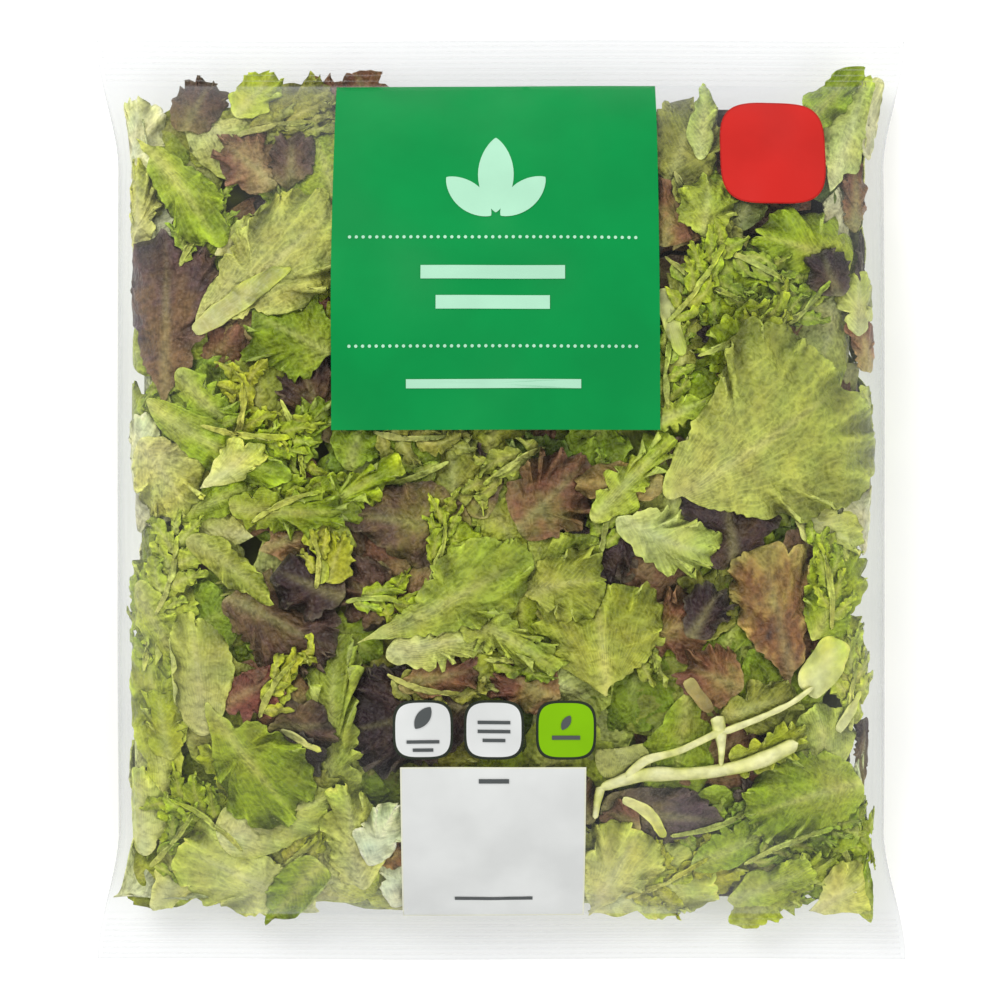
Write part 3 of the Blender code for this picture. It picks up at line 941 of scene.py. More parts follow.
redLeaves = (
    ("fan", -90, 25, 87, 47, 27, "plumBrown", (0.5, 0.3, 0.4), 6),
    ("heart", -8, -8, 172, 35, 21, "olivePurple", (0.6, 0.3, 0.4)),
    ("oak", -41, -26, 158, 20, 17, "darkPurple", (0.4, 0.3)),
    ("frill", -25, -28, 158, 20, 17, "brownPurple", (1.2, 1.6)),
    ("frill", -73, -25, -27, 33, 23, "brownPurple", (0.6, 0.9)),
    ("oak", -75, -55, 28, 20, 14, "wineRed", (0.4, 0.3), 0, (80, 5.6)),
    ("oak", -62, -61, 6, 18, 14, "brownPurple", (0.6, 0.5)),
    ("frill", -59, -64, -42, 14, 14, "darkPurple", (0.4, 0.6)),
    ("oak", -63, -13, 20, 18, 10, "brownRed", (0.9, 0.8)),
    ("frill", -60, 84, 140, 20, 16, "pinkTan", (0.3, 0.5)),
    ("frill", -66, 96, 20, 18, 15, "pinkTan", (0.7, 0.9)),
    ("frill", -56, 84, 92, 15, 13, "brownPurple", (0.2, 0.4)),
    ("frill", -86, 99, 66, 17, 14, "brownPurple", (0.3, 0.4)),
    ("frill", -38, 104, 156, 18, 14, "pinkTan", (0.7, 0.9)),
    ("oak", -34, 103, 112, 17, 12, "brownRed", (0.5, 0.6)),
    ("frill", -77, 74, 150, 15, 11, "brownPurple", (0.5, 0.7)),
    ("frill", -45, 16, 112, 22, 20, "brownPurple", (1.5, 2.0)),
    ("oak", 62, -18, 97, 26, 26, "darkPurple", (1.2, 1.2, 0.6)),
    ("fan", 77, -49, 99, 37, 24, "tanBrown", (1.0, 0.3, 0.6), 8),
    ("frill", 75, -16, 28, 16, 14, "brownPurple", (1.2, 1.6)),
    ("frill", 64, -50, 158, 18, 16, "brownRed", (0.7, 1.0)),
    ("oak", 66, -88, 80, 14, 9, "greyPurple", (0.7, 0.7)),
    ("heart", 28, -83, -5, 31, 18, "greyPurple", (0.6, 0.5)),
    ("frill", 37, -88, 150, 11, 10, "brownRed", (0.5, 0.7)),
    ("frill", 38, -3, 212, 25, 22, "darkPurple", (1.6, 2.2)),
    ("tongue", 44, 5, 190, 24, 11, "tan", (0.5, 0.5), -22, (90, 3.2)),
    ("tongue", 40, 7, 42, 13, 6, "brownPurple", (0.5, 0.8)),
    ("frill", 4, -8, 44, 26, 22, "brownRed", (0.6, 0.9)),
    ("frill", -4, -4, 112, 19, 16, "olivePurple", (1.4, 1.8)),
    ("frill", 43, 67, 75, 20, 14, "brownRed", (1.0, 1.4)),
    ("frill", 99, 50, 86, 22, 8, "darkPurple", (0.8, 1.0)),
    ("frill", 90, 54, 110, 14, 12, "darkPurple", (0.5, 0.7)),
    ("frill", 95, 72, 84, 20, 8, "brownRed", (1.1, 1.1), 8),
    ("frill", 99, 34, 100, 16, 8, "pinkTan", (1.2, 1.2)),
    ("frill", 98, -78, 88, 20, 7, "brownPurple", (1.0, 1.0)),
    ("frill", 50, -36, 58, 15, 13, "darkPurple", (0.8, 1.2)),
    ("frill", -8, -54, 192, 36, 28, "darkPurple", (1.0, 1.6)),
    ("frill", -37, -53, -18, 27, 21, "brownPurple", (1.6, 2.0)),
    ("oak", -27, -49, 12, 21, 11, "brownRed", (0.8, 0.8)),
    ("frill", 15, -53, 150, 19, 16, "brownRed", (1.2, 1.6)),
    ("frill", -34, -97, 20, 11, 8, "orangeBrown", (0.6, 0.6)),
    ("frill", 24, -86, 120, 16, 12, "brownPurple", (1.4, 1.4)),
)
paleLeaves = (
    ("tongue", -79, -63, 93, 33, 18, "whiteGreen", (0.4, 0.5, 0.4), 6, (88, 6.6)),
    ("tongue", -90, -80, 95, 45, 15, "paleLime", (0.7, 0.6), 4),
    ("tongue", -97, -97, 92, 26, 15, "cream", (0.7, 0.7)),
    ("heart", -76, -92, 24, 36, 18, "paleHeart", (0.5, 0.5, 0.3)),
    ("fan", -49, -112, 154, 42, 24, "cream", (0.5, 0.7)),
    ("fan", -96, -112, 48, 32, 22, "cream", (0.7, 0.8)),
    ("frill", 31, -4, -34, 29, 15, "whiteGreen", (0.2, 0.2), 24),
    ("fan", 24, -113, 62, 29, 21, "cream", (0.4, 0.3)),
    ("fan", 24, -112, 20, 36, 20, "cream", (0.9, 0.9)),
    ("sail", -80, 3, 26, 19, 12, "cream", (0.2, 0.2), 24),
    ("oak", -76, 66, 33, 18, 10, "paleHeart", (0.5, 0.4), 0, (92, 2.6)),
    ("oak", -95, 0, 96, 24, 12, "milk", (0.5, 0.5)),
    ("frill", 79, -4, -26, 20, 12, "creamYellow", (0.6, 0.5)),
    ("oak", 97, -14, 88, 28, 12, "milk", (1.0, 1.0)),
    ("oak", 96, 44, 90, 18, 11, "cream", (1.0, 1.0)),
    ("oak", -36, -98, 64, 19, 12, "milk", (0.3, 0.3)),
    ("frill", -89, -70, 98, 20, 11, "yellowLime", (0.4, 0.5)),
    ("oak", -101, 84, 84, 26, 13, "milk", (1.2, 1.2)),
    ("frill", -72, 104, 52, 17, 12, "paleLime", (0.3, 0.5)),
    ("oak", -102, 55, 84, 26, 12, "milk", (1.2, 1.2)),
    ("oak", 101, 92, 96, 24, 12, "milk", (1.0, 1.0)),
    ("fan", 84, -112, 30, 20, 16, "cream", (0.4, 0.6)),
    ("oak", -30, -110, 60, 22, 16, "milk", (0.9, 0.9)),
    ("oak", 100, -90, 84, 24, 12, "milk", (1.0, 1.0)),
    ("oak", 100, 6, 92, 24, 12, "creamYellow", (1.2, 1.2)),
)
cutRibs = (
    ("strap", -81, 45, 34, 30, 6.0, "whiteGreen", (0.0, 0.5), 4),
    ("strap", 81, -51, 54, 17, 10, "cream", (0.2, 0.1)),
    ("strap", 90, -62, 58, 12, 2.6, "cream", (0.2, 0.2)),
    ("strap", 33, -80, -18, 15, 3.4, "cream", (0.2, 0.2), -52),
    ("strap", 43, 56, -82, 18, 5, "whiteGreen", (0.4, 0.4), 12),
    ("strap", -59, -61, -25, 13, 1.6, "cream", (0.2, 0.2)),
    ("strap", 49, -47, -58, 11, 3.6, "tan", (0.2, 0.2), 8),
)
# Sprays of curled leaflets: base across and along, heading, length, palette, depth and bend
sprays = (
    (-66, -6, 38, 22, "brightLime", 0.3, -30),
    (-56, -10, 84, 20, "freshGreen", 0.5, 24),
    (-80, 20, -20, 24, "brightLime", 0.3, 24),
    (-92, 6, 34, 22, "freshGreen", 0.5, -26),
    (-72, 12, 64, 20, "yellowLime", 0.4, 30),
    (-58, 26, -64, 22, "brightLime", 0.5, -20),
    (-92, 34, -72, 20, "midGreen", 0.6, 20),
    (-49, -24, 74, 17, "yellowLime", 0.2, 40),
    (-41, -27, 20, 15, "brightLime", 0.5, -40),
    (-19, -22, 60, 19, "brightLime", 0.3, 34),
    (-8, -26, 112, 16, "freshGreen", 0.5, -30),
    (-34, 18, -18, 20, "olive", 0.6, 30),
    (-14, 10, -150, 20, "midGreen", 0.7, -24),
    (12, 14, -160, 20, "paleOlive", 0.8, 24),
    (26, -14, 74, 18, "midGreen", 0.6, 26),
    (22, -30, -20, 20, "paleOlive", 0.6, -30),
    (-4, -42, -6, 22, "freshGreen", 0.6, 26),
    (-30, -46, -30, 20, "olive", 0.7, 30),
    (44, 47, 44, 25, "brightLime", 0.2, 20),
    (52, 38, 18, 24, "brightLime", 0.4, 30),
    (44, 64, -40, 24, "midGreen", 0.5, 24),
    (60, 66, -18, 22, "freshGreen", 0.6, -24),
    (72, 44, 30, 22, "freshGreen", 0.5, 26),
    (62, 26, 72, 22, "yellowLime", 0.3, -28),
    (44, 24, 100, 20, "freshGreen", 0.5, -26),
    (46, 88, -60, 20, "olive", 0.8, 20),
    (88, -34, 84, 22, "brightLime", 0.3, 26),
    (94, -62, 96, 20, "paleLime", 0.5, -20),
    (-64, -58, 76, 19, "yellowLime", 0.2, -36),
    (-96, -46, 76, 20, "brightLime", 0.5, 20),
    (-92, -30, 60, 22, "paleLime", 0.3, 30),
    (-70, -94, 132, 22, "brightLime", 0.4, 22),
    (-96, -100, 40, 24, "freshGreen", 0.4, 24),
    (-66, -104, 30, 22, "yellowLime", 0.5, 20),
    (-86, 62, 70, 20, "midGreen", 0.3, -20),
    (-72, 98, 24, 20, "olive", 0.3, -24),
    (-54, 68, 100, 20, "freshGreen", 0.5, 24),
    (-52, 50, 140, 20, "freshGreen", 0.6, 30),
    (34, -108, 18, 24, "yellowLime", 0.4, 20),
    (66, -98, 32, 26, "freshGreen", 0.3, -20),
    (46, -90, 8, 24, "midGreen", 0.5, 24),
    (84, -88, -20, 20, "brightLime", 0.5, 30),
    (76, -112, 60, 24, "midGreen", 0.5, -24),
    (96, -104, 104, 22, "freshGreen", 0.5, 20),
)
# Branching pale stems: points across and along, and the stem's width there
stems = (
    (
        (26, -76.5, 2.4), (37, -72.6, 4.2), (52, -72.6, 3.4),
        (63, -71, 3.6), (71, -68.5, 4.4), (79, -64.6, 3.6),
    ),
    ((33, -73.5, 2.2), (38, -68.6, 2.6), (47, -66.4, 2.0), (55, -62.6, 1.9), (59, -60.8, 3.4)),
    ((26.5, -76, 2.6), (25.6, -80, 2.2), (25, -85, 1.6)),
    ((57, -57, 4.4), (58, -62, 3.6), (58.4, -66, 1.8), (58.2, -70.5, 1.2)),
    ((58.5, -61.5, 2.2), (68, -58, 1.7), (77, -54, 1.6), (83, -49.6, 1.2)),
)


def stemLine(path):
    # even points along a stem through the given spots, with its width as the third number
    spots = np.array(path, float)
    steps = np.linspace(0, len(spots) - 1, len(spots) * 8)
    line = np.stack([np.interp(steps, range(len(spots)), spots[:, band]) for band in range(3)], axis=-1)
    for _ in range(6):
        line[1:-1] = (line[:-2] + 2 * line[1:-1] + line[2:]) / 4
    return line


def addStem(heap, stack, path, palette, seed, depth=0.2, sides=14, flatness=0.75):
    # a round stem through the given spots, closed at both ends
    rng = np.random.default_rng(seed)
    line = stemLine(path)
    rings = len(line)
    heading = np.gradient(line[:, :2], axis=0)
    heading /= np.linalg.norm(heading, axis=1)[:, None]
    turn = np.linspace(0, 2 * np.pi, sides, endpoint=False)
    share = np.linspace(0, 1, rings)
    closing = np.sqrt(np.clip(np.minimum(share, 1 - share) * rings / 1.6, 0.0004, 1))
    half = line[:, 2] / 2 * closing * (1 + 0.06 * wavesOf(rng, line[:, 0], line[:, 1], 6))
    across = half[:, None] * np.cos(turn)[None]
    up = flatness * half[:, None] * (np.sin(turn)[None] - 1) - depth
    x = (line[:, :1] - heading[:, 1:] * across) / 1000
    y = (line[:, 1:2] + heading[:, :1] * across) / 1000
    limit = halfWidth(y) - 0.003
    x = np.clip(x, -limit, limit)
    points = np.stack([x, y, filmHeights(x, y)[0] - leafRoom["filmGap"] + up / 1000], axis=-1)
    layUnder(stack, x * 1000, y * 1000, -up)
    stops = linear(palettes[palette])
    lines = np.sin(3 * turn + rng.uniform(0, fullTurn))[None]
    streaks = 0.10 * lines + 0.10 * wavesOf(rng, x * 1000, y * 1000, 3.0)
    greener = 0.15 + 0.6 * np.cos(turn)[None] ** 4 + 0.25 * wavesOf(rng, x * 1000, y * 1000, 9)
    tints = stops[0] + (stops[2] * 0.8 - stops[0]) * np.clip(greener, 0, 1)[..., None]
    tints = np.clip(tints * (1 + streaks)[..., None], 0, 0.9)
    uvs = np.stack(np.broadcast_arrays(share[:, None], (turn / 6.2832)[None]), axis=-1)
    place, after = aroundRing(sides)
    faces = []
    for ring in range(rings - 1):
        faces += bandFaces(ring * sides, (ring + 1) * sides, place, after)
    for first, turned in ((0, False), ((rings - 1) * sides, True)):
        fan = np.stack([np.full(sides - 2, first), first + place[1:-1], first + place[2:]], axis=-1)
        faces.append(fan[:, ::-1] if turned else fan)
    addToHeap(heap, np.concatenate(faces),
              [points.reshape(-1, 3)], [tints.reshape(-1, 3)], [uvs.reshape(-1, 2)])


sprayRule = {
    "ribWidth": 1.3,
    "leafletGap": 2.5,             # along the rib, from one leaflet to the next on the other side
    "leafletLength": (9, 15),
    "leafletWidth": (0.26, 0.42),  # as a share of its length
    "slant": (28, 66),             # from the rib, in degrees
    "curl": (-50, 120),
    "sink": (-0.2, 1.4),
}


def spray(x, y, heading, length, palette, depth, bend, seed):
    # a thin rib with curled leaflets on both sides of it, as a list of leaves
    rng = np.random.default_rng(seed)
    parts = [("strap", x, y, heading, length, sprayRule["ribWidth"], palette, (depth, depth), bend)]
    count = int(length / sprayRule["leafletGap"])
    for number in range(count):
        share = (number + 0.8) / count
        turn = math.radians(bend) * share
        half = math.radians(heading) + turn / 2
        reach = length * share * (math.sin(turn / 2) / (turn / 2) if turn else 1)
        side = 1 if number % 2 else -1
        size = rng.uniform(*sprayRule["leafletLength"]) * (0.62 + 1.1 * share * (1.1 - share))
        slant = side * rng.uniform(*sprayRule["slant"]) * (1.1 - 0.6 * share)
        width = size * rng.uniform(*sprayRule["leafletWidth"])
        depths = (depth + 0.15, depth + rng.uniform(*sprayRule["sink"]))
        curl = -side * rng.uniform(*sprayRule["curl"])
        parts.append(("fringe", x + reach * math.cos(half), y + reach * math.sin(half),
                      heading + math.degrees(turn) + slant, size, width, palette, depths, curl))
    return parts


# The bed of mixed leaves: palettes inside the bag and at its edges, and where its edges begin
bedRule = {
    "reach": (98, 104),
    "edge": (84, 96),
    "edgeShare": 0.85,
    "kinds": (("frill", "oak", "fan"), (0.5, 0.35, 0.15)),
    "length": (18, 31),
    "width": (0.7, 1.0),
    "edges": ((0.0030, 0.0095), (0.104, 0.113)),
    "insidePalettes": (
        "freshGreen", "midGreen", "paleOlive", "deepGreen", "brightLime", "olive", "paleLime",
        "paleHeart", "brownRed", "brownPurple", "darkPurple", "pinkTan", "midGreen", "freshGreen",
    ),
    "edgePalettes": ("creamYellow", "milk", "paleLime", "paleHeart", "milk", "cream"),
}


def scatterLeaves(heap, stack, seed, spacing, depth, front, step):
    # a bed of mixed leaves behind the ones that show most
    rng = np.random.default_rng(seed)
    farX, farY = bedRule["reach"]
    names, chances = bedRule["kinds"]
    for row in np.arange(-farY, farY + 1, spacing):
        for column in np.arange(-farX, farX + 1, spacing):
            x = column + rng.uniform(-0.45, 0.45) * spacing
            y = row + rng.uniform(-0.40, 0.40) * spacing
            atEdge = abs(x) > bedRule["edge"][0] or abs(y) > bedRule["edge"][1]
            pale = atEdge and rng.random() < bedRule["edgeShare"]
            palette = str(rng.choice(bedRule["edgePalettes" if pale else "insidePalettes"]))
            kind = str(rng.choice(names, p=chances))
            heading = rng.uniform(0, 360)
            length = rng.uniform(*bedRule["length"])
            if atEdge:
                heading = math.degrees(math.atan2(-y, -x)) + rng.uniform(-80, 80)
                x = x * 1.02
            sink = rng.uniform(*depth)
            baseX = x - 0.5 * length * math.cos(math.radians(heading))
            baseY = y - 0.5 * length * math.sin(math.radians(heading))
            width = length * rng.uniform(*bedRule["width"])
            bend = rng.uniform(-15, 15)
            growLeaf(heap, stack, kind, baseX, baseY, heading, length, width, palette, (sink + 0.8, sink),
                     bend, None, int(rng.integers(1 << 30)), front, step, bedRule["edges"])


# The dark mass in the middle of the heap, coloured as painted shade for the leaves deep inside

coreSizes = {
    "front": 0.0105,
    "back": 0.0042,
    "side": 0.010,
    "end": 0.014,
    "rows": 70,
    "columns": 60,
    "level": 0.45,
    "bump": 0.0012,
    "bumpLength": 0.016,
}


def makeCore(material):
    rng = np.random.default_rng(5)
    reach = bag["fullHeight"] / 2 - bag["sealDepth"] - coreSizes["end"]
    lines = np.linspace(-1, 1, coreSizes["rows"] + 1)
    along, across = np.meshgrid(lines, np.linspace(-1, 1, coreSizes["columns"] + 1), indexing="ij")
    y = reach * np.sin(along * np.pi / 2)
    wide = (1 - np.abs(y / reach) ** 6) ** 0.5
    x = (halfWidth(y) - coreSizes["side"]) * np.sin(across * np.pi / 2) * (0.86 + 0.14 * wide)
    top, low = filmHeights(x, y)
    rim = (1 - across ** 2) ** 0.5 * (1 - along ** 2) ** 0.5
    filled = np.minimum(rim * 2.2, 1)
    bumps = coreSizes["bump"] * wavesOf(rng, x, y, coreSizes["bumpLength"]) * rim
    middle = low + (top - low) * coreSizes["level"]
    upper = middle + np.maximum(top - coreSizes["front"] - middle, 0.0005) * filled + bumps
    lower = middle - np.maximum(middle - low - coreSizes["back"], 0.0005) * filled
    return closedSlab("leaf_core", x, y, upper, np.minimum(lower, upper), material)


def coreSkin():
    material, tree = blankMaterial("shadedLeafMass")
    patch = noise(tree, 70.0, 5.0)
    # painted shade: dark olive to near black for the leaves that lie in shadow deep in the heap
    colour = ramp(tree, patch, (0.35, linear((34, 30, 20))), (0.68, linear((96, 104, 40))))
    return finishMaterial(material, paint(tree, colour, 0.8, 0.1, Normal=bump(tree, 0.8, 0.002, patch)))


print("building the leaves")
core = makeCore(coreSkin())
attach(core, "root")

skins = {name: leafSkin(name) for name in leafSkins}
sprayLeaves = [leaf for number, values in enumerate(sprays) for leaf in spray(*values, 31 + number)]
# Leaves, skin, and the first seed of each piece
leafPieces = {
    "broad_leaves": (greenLeaves, "broadLeafSkin", 100),
    "curly_leaves": (curlyLeaves, "curlyLeafSkin", 300),
    "long_curly_leaves": (longLeaves, "curlyLeafSkin", 400),
    "red_leaves": (redLeaves, "redLeafSkin", 500),
    "heart_leaves": (paleLeaves, "heartLeafSkin", 700),
    "cut_ribs": (cutRibs, "cutRibSkin", 900),
    "leaf_sprays": (sprayLeaves, "curlyLeafSkin", 1000),
}
heaps = {name: newHeap() for name in leafPieces}
frontStack = newStack()
for number, path in enumerate(stems):
    addStem(heaps["cut_ribs"], frontStack, path, "cream", 950 + number)
# the leaves nearest the film are laid first
order = [(leaf[7][0], name, number) for name, (leaves, _, _) in leafPieces.items()
         for number, leaf in enumerate(leaves)]
for _, name, number in sorted(order):
    leaves, _, firstSeed = leafPieces[name]
    growLeaf(heaps[name], frontStack, *leaves[number], seed=firstSeed + number)
for name, (_, skin, _) in leafPieces.items():
    heapPiece(name, heaps[name], skins[skin])

# Seed, spacing, depths, whether they lie at the front, and the spacing of their points
beds = {
    "leaf_bed": ((21, 18.0, (2.0, 4.2), True, 2.5), (23, 20.0, (4.5, 7.5), True, 3.8)),
    "back_leaves": ((22, 17.5, (0.5, 3.2), False, 2.6),),
}
for name, layers in beds.items():
    bedHeap = newHeap()
    stack = frontStack if name == "leaf_bed" else newStack()
    for layer in layers:
        scatterLeaves(bedHeap, stack, *layer)
    heapPiece(name, bedHeap, skins["curlyLeafSkin"])


# The film

filmSizes = {"columns": 168, "bodyRows": 216, "sealRows": 10, "gatherAlong": 0.4, "gatherAcross": 0.55}


def filmSkin():
    material, tree = blankMaterial("clearFilm")
    facing = addNode(tree, "ShaderNodeLayerWeight", {"Blend": 0.5}).outputs["Facing"]
    haze = maths(tree, "MULTIPLY_ADD", maths(tree, "POWER", facing, 1.9), 0.80, 0.010, use_clamp=True)
    normal = bump(tree, 0.25, 0.001, noise(tree, 90.0, 0.0))
    shine = paint(tree, (0.64, 0.66, 0.68, 1), 0.16, Normal=normal)
    return finishMaterial(material, clearAnd(tree, haze, (0.915, 0.920, 0.922, 1), shine))


def gatheredLine(count, share):
    # from -1 to 1, closer together at both ends
    even = np.linspace(-1, 1, count + 1)
    return (1 - share) * even + share * np.sin(even * np.pi / 2)


def makeFilm(material):
    inner = bag["fullHeight"] / 2 - bag["sealDepth"]
    seal = np.linspace(inner, bag["fullHeight"] / 2, filmSizes["sealRows"] + 1)[1:]
    body = inner * gatheredLine(filmSizes["bodyRows"], filmSizes["gatherAlong"])
    sides = gatheredLine(filmSizes["columns"], filmSizes["gatherAcross"])
    y, side = np.meshgrid(np.concatenate([-seal[::-1], body, seal]), sides, indexing="ij")
    x = side * halfWidth(y)
    back = filmHeights(x, y)[1]
    upper = np.stack([x, y, filmTop(x, y)], axis=-1)
    loop = np.concatenate([upper, np.stack([x, y, back], axis=-1)[:, ::-1]], axis=1)
    rows, count = loop.shape[0] - 1, loop.shape[1]
    place, after = aroundRing(count)
    first = np.arange(rows)[:, None] * count
    faces = np.stack([first + place, first + after, first + after + count, first + place + count], axis=-1)
    faces = [faces.reshape(-1, 4)]
    place = np.arange(count // 2 - 1)
    for first, turned in ((0, False), (rows * count, True)):
        last = first + count - 1
        cap = np.stack([first + place, last - place, last - 1 - place, first + place + 1], axis=-1)
        faces.append(cap[:, ::-1] if turned else cap)
    return makePiece("film", loop.reshape(-1, 3), np.concatenate(faces), material)


film = makeFilm(filmSkin())
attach(film, "root")
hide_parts("salad_bag")
film.visible_shadow = False
film.visible_diffuse = False
print("film made")


# Ribs pressed into both end seals, and the lap seam down the back

sealRibs = {
    "count": 7,
    "spacing": 0.00155,
    "thickness": 0.00042,
    "start": 0.1142,
    "endGap": 0.0012,
    "sunk": 0.00004,
    "points": 90,
    "sides": 6,
}
backSeam = {
    "width": 0.011,
    "across": 0.004,
    "thickness": 0.00022,
    "reach": 0.1128,
    "lift": 0.00012,
    "sway": 0.0004,
    "ribHeight": 0.00005,
    "ribs": 4,
    "rows": 160,
    "columns": 10,
}


def newTree(name, sizes):
    # a geometry tree with one named input for each size, ready for its nodes
    tree = bpy.data.node_groups.new(name, "GeometryNodeTree")
    tree.interface.new_socket(name="Geometry", in_out="OUTPUT", socket_type="NodeSocketGeometry")
    for title, (kind, value) in sizes.items():
        socket = tree.interface.new_socket(name=title, in_out="INPUT", socket_type="NodeSocket" + kind)
        socket.default_value = value
    return tree, tree.nodes.new("NodeGroupInput").outputs


def finishRow(tree, given, direction, item, material):
    # repeats an item in a row, realizes the row and gives it its material
    step = addNode(tree, "ShaderNodeCombineXYZ", {direction: given["Spacing"]})
    places = addNode(tree, "GeometryNodeMeshLine", {"Count": given["Count"], "Offset": step.outputs[0]})
    row = addNode(tree, "GeometryNodeInstanceOnPoints", {"Points": places.outputs[0], "Instance": item})
    real = addNode(tree, "GeometryNodeRealizeInstances", {0: row.outputs[0]})
    painted = addNode(tree, "GeometryNodeSetMaterial", {0: real.outputs[0], "Material": material})
    addNode(tree, "NodeGroupOutput", {0: painted.outputs[0]})
    return tree


def growFrom(tree, name, values):
    holder = putInScene(name + "Holder", bpy.data.meshes.new(name + "Holder"))
    modifier = holder.modifiers.new("grown", "NODES")
    modifier.node_group = tree
    for item in tree.interface.items_tree:
        if item.in_out == "INPUT" and item.name in values:
            modifier[item.identifier] = values[item.name]
    depsgraph = bpy.context.evaluated_depsgraph_get()
    mesh = bpy.data.meshes.new_from_object(holder.evaluated_get(depsgraph))
    holder.modifiers.clear()
    bpy.data.objects.remove(holder)
    mesh.name = name
    return putInScene(name, mesh)


def ribTree(material):
    tree, given = newTree("sealRibTree", {
        "Count": ("Int", 7),
        "Spacing": ("Float", 0.0015),
        "Half length": ("Float", 0.1),
        "Thickness": ("Float", 0.0004),
    })
    other = maths(tree, "MULTIPLY", given["Half length"], -1.0)
    left = addNode(tree, "ShaderNodeCombineXYZ", {"X": other}).outputs[0]
    right = addNode(tree, "ShaderNodeCombineXYZ", {"X": given["Half length"]}).outputs[0]
    line = addNode(tree, "GeometryNodeCurvePrimitiveLine", {"Start": left, "End": right}).outputs[0]
    cut = addNode(tree, "GeometryNodeResampleCurve", {"Curve": line, "Count": sealRibs["points"]}).outputs[0]
    radius = maths(tree, "MULTIPLY", given["Thickness"], 0.5)
    section = {"Resolution": sealRibs["sides"], "Radius": radius}
    wire = addNode(tree, "GeometryNodeCurvePrimitiveCircle", section).outputs[0]
    swept = {"Curve": cut, "Profile Curve": wire, "Fill Caps": True}
    rib = addNode(tree, "GeometryNodeCurveToMesh", swept).outputs[0]
    return finishRow(tree, given, "Y", rib, material)


def dotTree(material):
    tree, given = newTree("dottedRuleTree", {
        "Count": ("Int", 42),
        "Spacing": ("Float", 0.0018),
        "Size": ("Float", 0.0008),
        "Height": ("Float", 0.0001),
    })
    radius = maths(tree, "MULTIPLY", given["Size"], 0.5)
    sizes = {"Vertices": 10, "Radius": radius, "Depth": given["Height"]}
    dot = addNode(tree, "GeometryNodeMeshCylinder", sizes).outputs[0]
    return finishRow(tree, given, "X", dot, material)


def readPoints(piece):
    points = np.empty(len(piece.data.vertices) * 3, np.float32)
    piece.data.vertices.foreach_get("co", points)
    return points.reshape(-1, 3).astype(float)


def layPoints(piece, points, lift):
    # lays a flat piece on the front film, so far above it
    points[:, 2] += filmTop(points[:, 0], points[:, 1]) + lift
    piece.data.vertices.foreach_set("co", points.astype(np.float32).ravel())
    piece.data.update()


def sealSkin():
    material, tree = blankMaterial("pressedSealRib")
    share = carried(tree, noise(tree, 40.0, 3.0), (0.35, 0.7), (0.02, 0.10))
    milky = paint(tree, (0.92, 0.93, 0.93, 1), 0.3)
    return finishMaterial(material, clearAnd(tree, share, (0.985, 0.985, 0.985, 1), milky))


pressedRib = sealSkin()
ribs = ribTree(pressedRib)
for pieceName, side in (("top_seal_ribs", 1), ("bottom_seal_ribs", -1)):
    piece = growFrom(ribs, pieceName, {
        "Count": sealRibs["count"],
        "Spacing": sealRibs["spacing"],
        "Half length": bag["flatWidth"] / 2 - sealRibs["endGap"],
        "Thickness": sealRibs["thickness"],
    })
    points = readPoints(piece)
    alongBag = sealRibs["start"] + points[:, 1]
    points[:, 0] *= halfWidth(alongBag) / (bag["flatWidth"] / 2)
    points[:, 1] = side * alongBag
    layPoints(piece, points, -sealRibs["sunk"])
    if side < 0:
        piece.data.flip_normals()
    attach(piece, "root")
print("seal ribs made")


def makeSeam(material):
    # flat lap of film along the back, from seal to seal, lying just inside the bag's lowest level
    lines = np.linspace(-backSeam["reach"], backSeam["reach"], backSeam["rows"] + 1)
    y, share = np.meshgrid(lines, np.linspace(-0.5, 0.5, backSeam["columns"] + 1), indexing="ij")
    x = backSeam["across"] + share * backSeam["width"] + backSeam["sway"] * np.sin(y / 0.017)
    lower = filmHeights(x, y)[1] + backSeam["lift"]
    wave = backSeam["ribHeight"] * (1 + np.sin(2 * np.pi * share * backSeam["ribs"]))
    return closedSlab("back_seam", x, y, lower + backSeam["thickness"] + wave, lower, material, crisp=True)


seam = makeSeam(pressedRib)
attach(seam, "root")


# The print on the front film

printColours = {
    "green": (0, 143, 68),
    "mint": (176, 226, 196),
    "red": (202, 40, 34),
    "redRim": (180, 34, 28),
    "white": (226, 228, 226),
    "whiteRim": (236, 236, 214),
    "lime": (132, 190, 6),
    "outline": (44, 50, 40),
    "ink": (84, 88, 88),
}


def inkSkin(name, colour):
    # a field of one ink, a little uneven
    material, tree = blankMaterial(name)
    darker, brighter = linear(colour) * 0.93, np.minimum(linear(colour) * 1.05, 1)
    colour = ramp(tree, noise(tree, 45.0, 3.0), (0.35, darker), (0.65, brighter))
    normal = bump(tree, 0.05, 0.0004, noise(tree, 500.0, 2.0))
    return finishMaterial(material, paint(tree, colour, 0.42, 0.12, Normal=normal))


inks = {name: inkSkin(name + "Ink", colour) for name, colour in printColours.items()}

# Heights of the inks above the film, lowest first, and an ink's own thickness, in millimetres
inkLevels = {"rim": 0.10, "panel": 0.16, "field": 0.18, "mark": 0.36, "thickness": 0.07}


def boxOutline(width, height, step=1.0):
    # a rectangle's edge in millimetres, anticlockwise from its lower right corner
    acrossCount = max(int(width / step), 1)
    alongCount = max(int(height / step), 1)
    right = [(width / 2, -height / 2 + height * place / alongCount) for place in range(alongCount)]
    top = [(width / 2 - width * place / acrossCount, height / 2) for place in range(acrossCount)]
    return np.array(right + top + [(-x, -y) for x, y in right + top])


def softSquare(size, count=96, power=3.6):
    turn = np.linspace(0, 2 * np.pi, count, endpoint=False)
    reach = (np.abs(np.cos(turn)) ** power + np.abs(np.sin(turn)) ** power) ** (-1 / power)
    return np.stack([np.cos(turn), np.sin(turn)], axis=-1) * reach[:, None] * size / 2


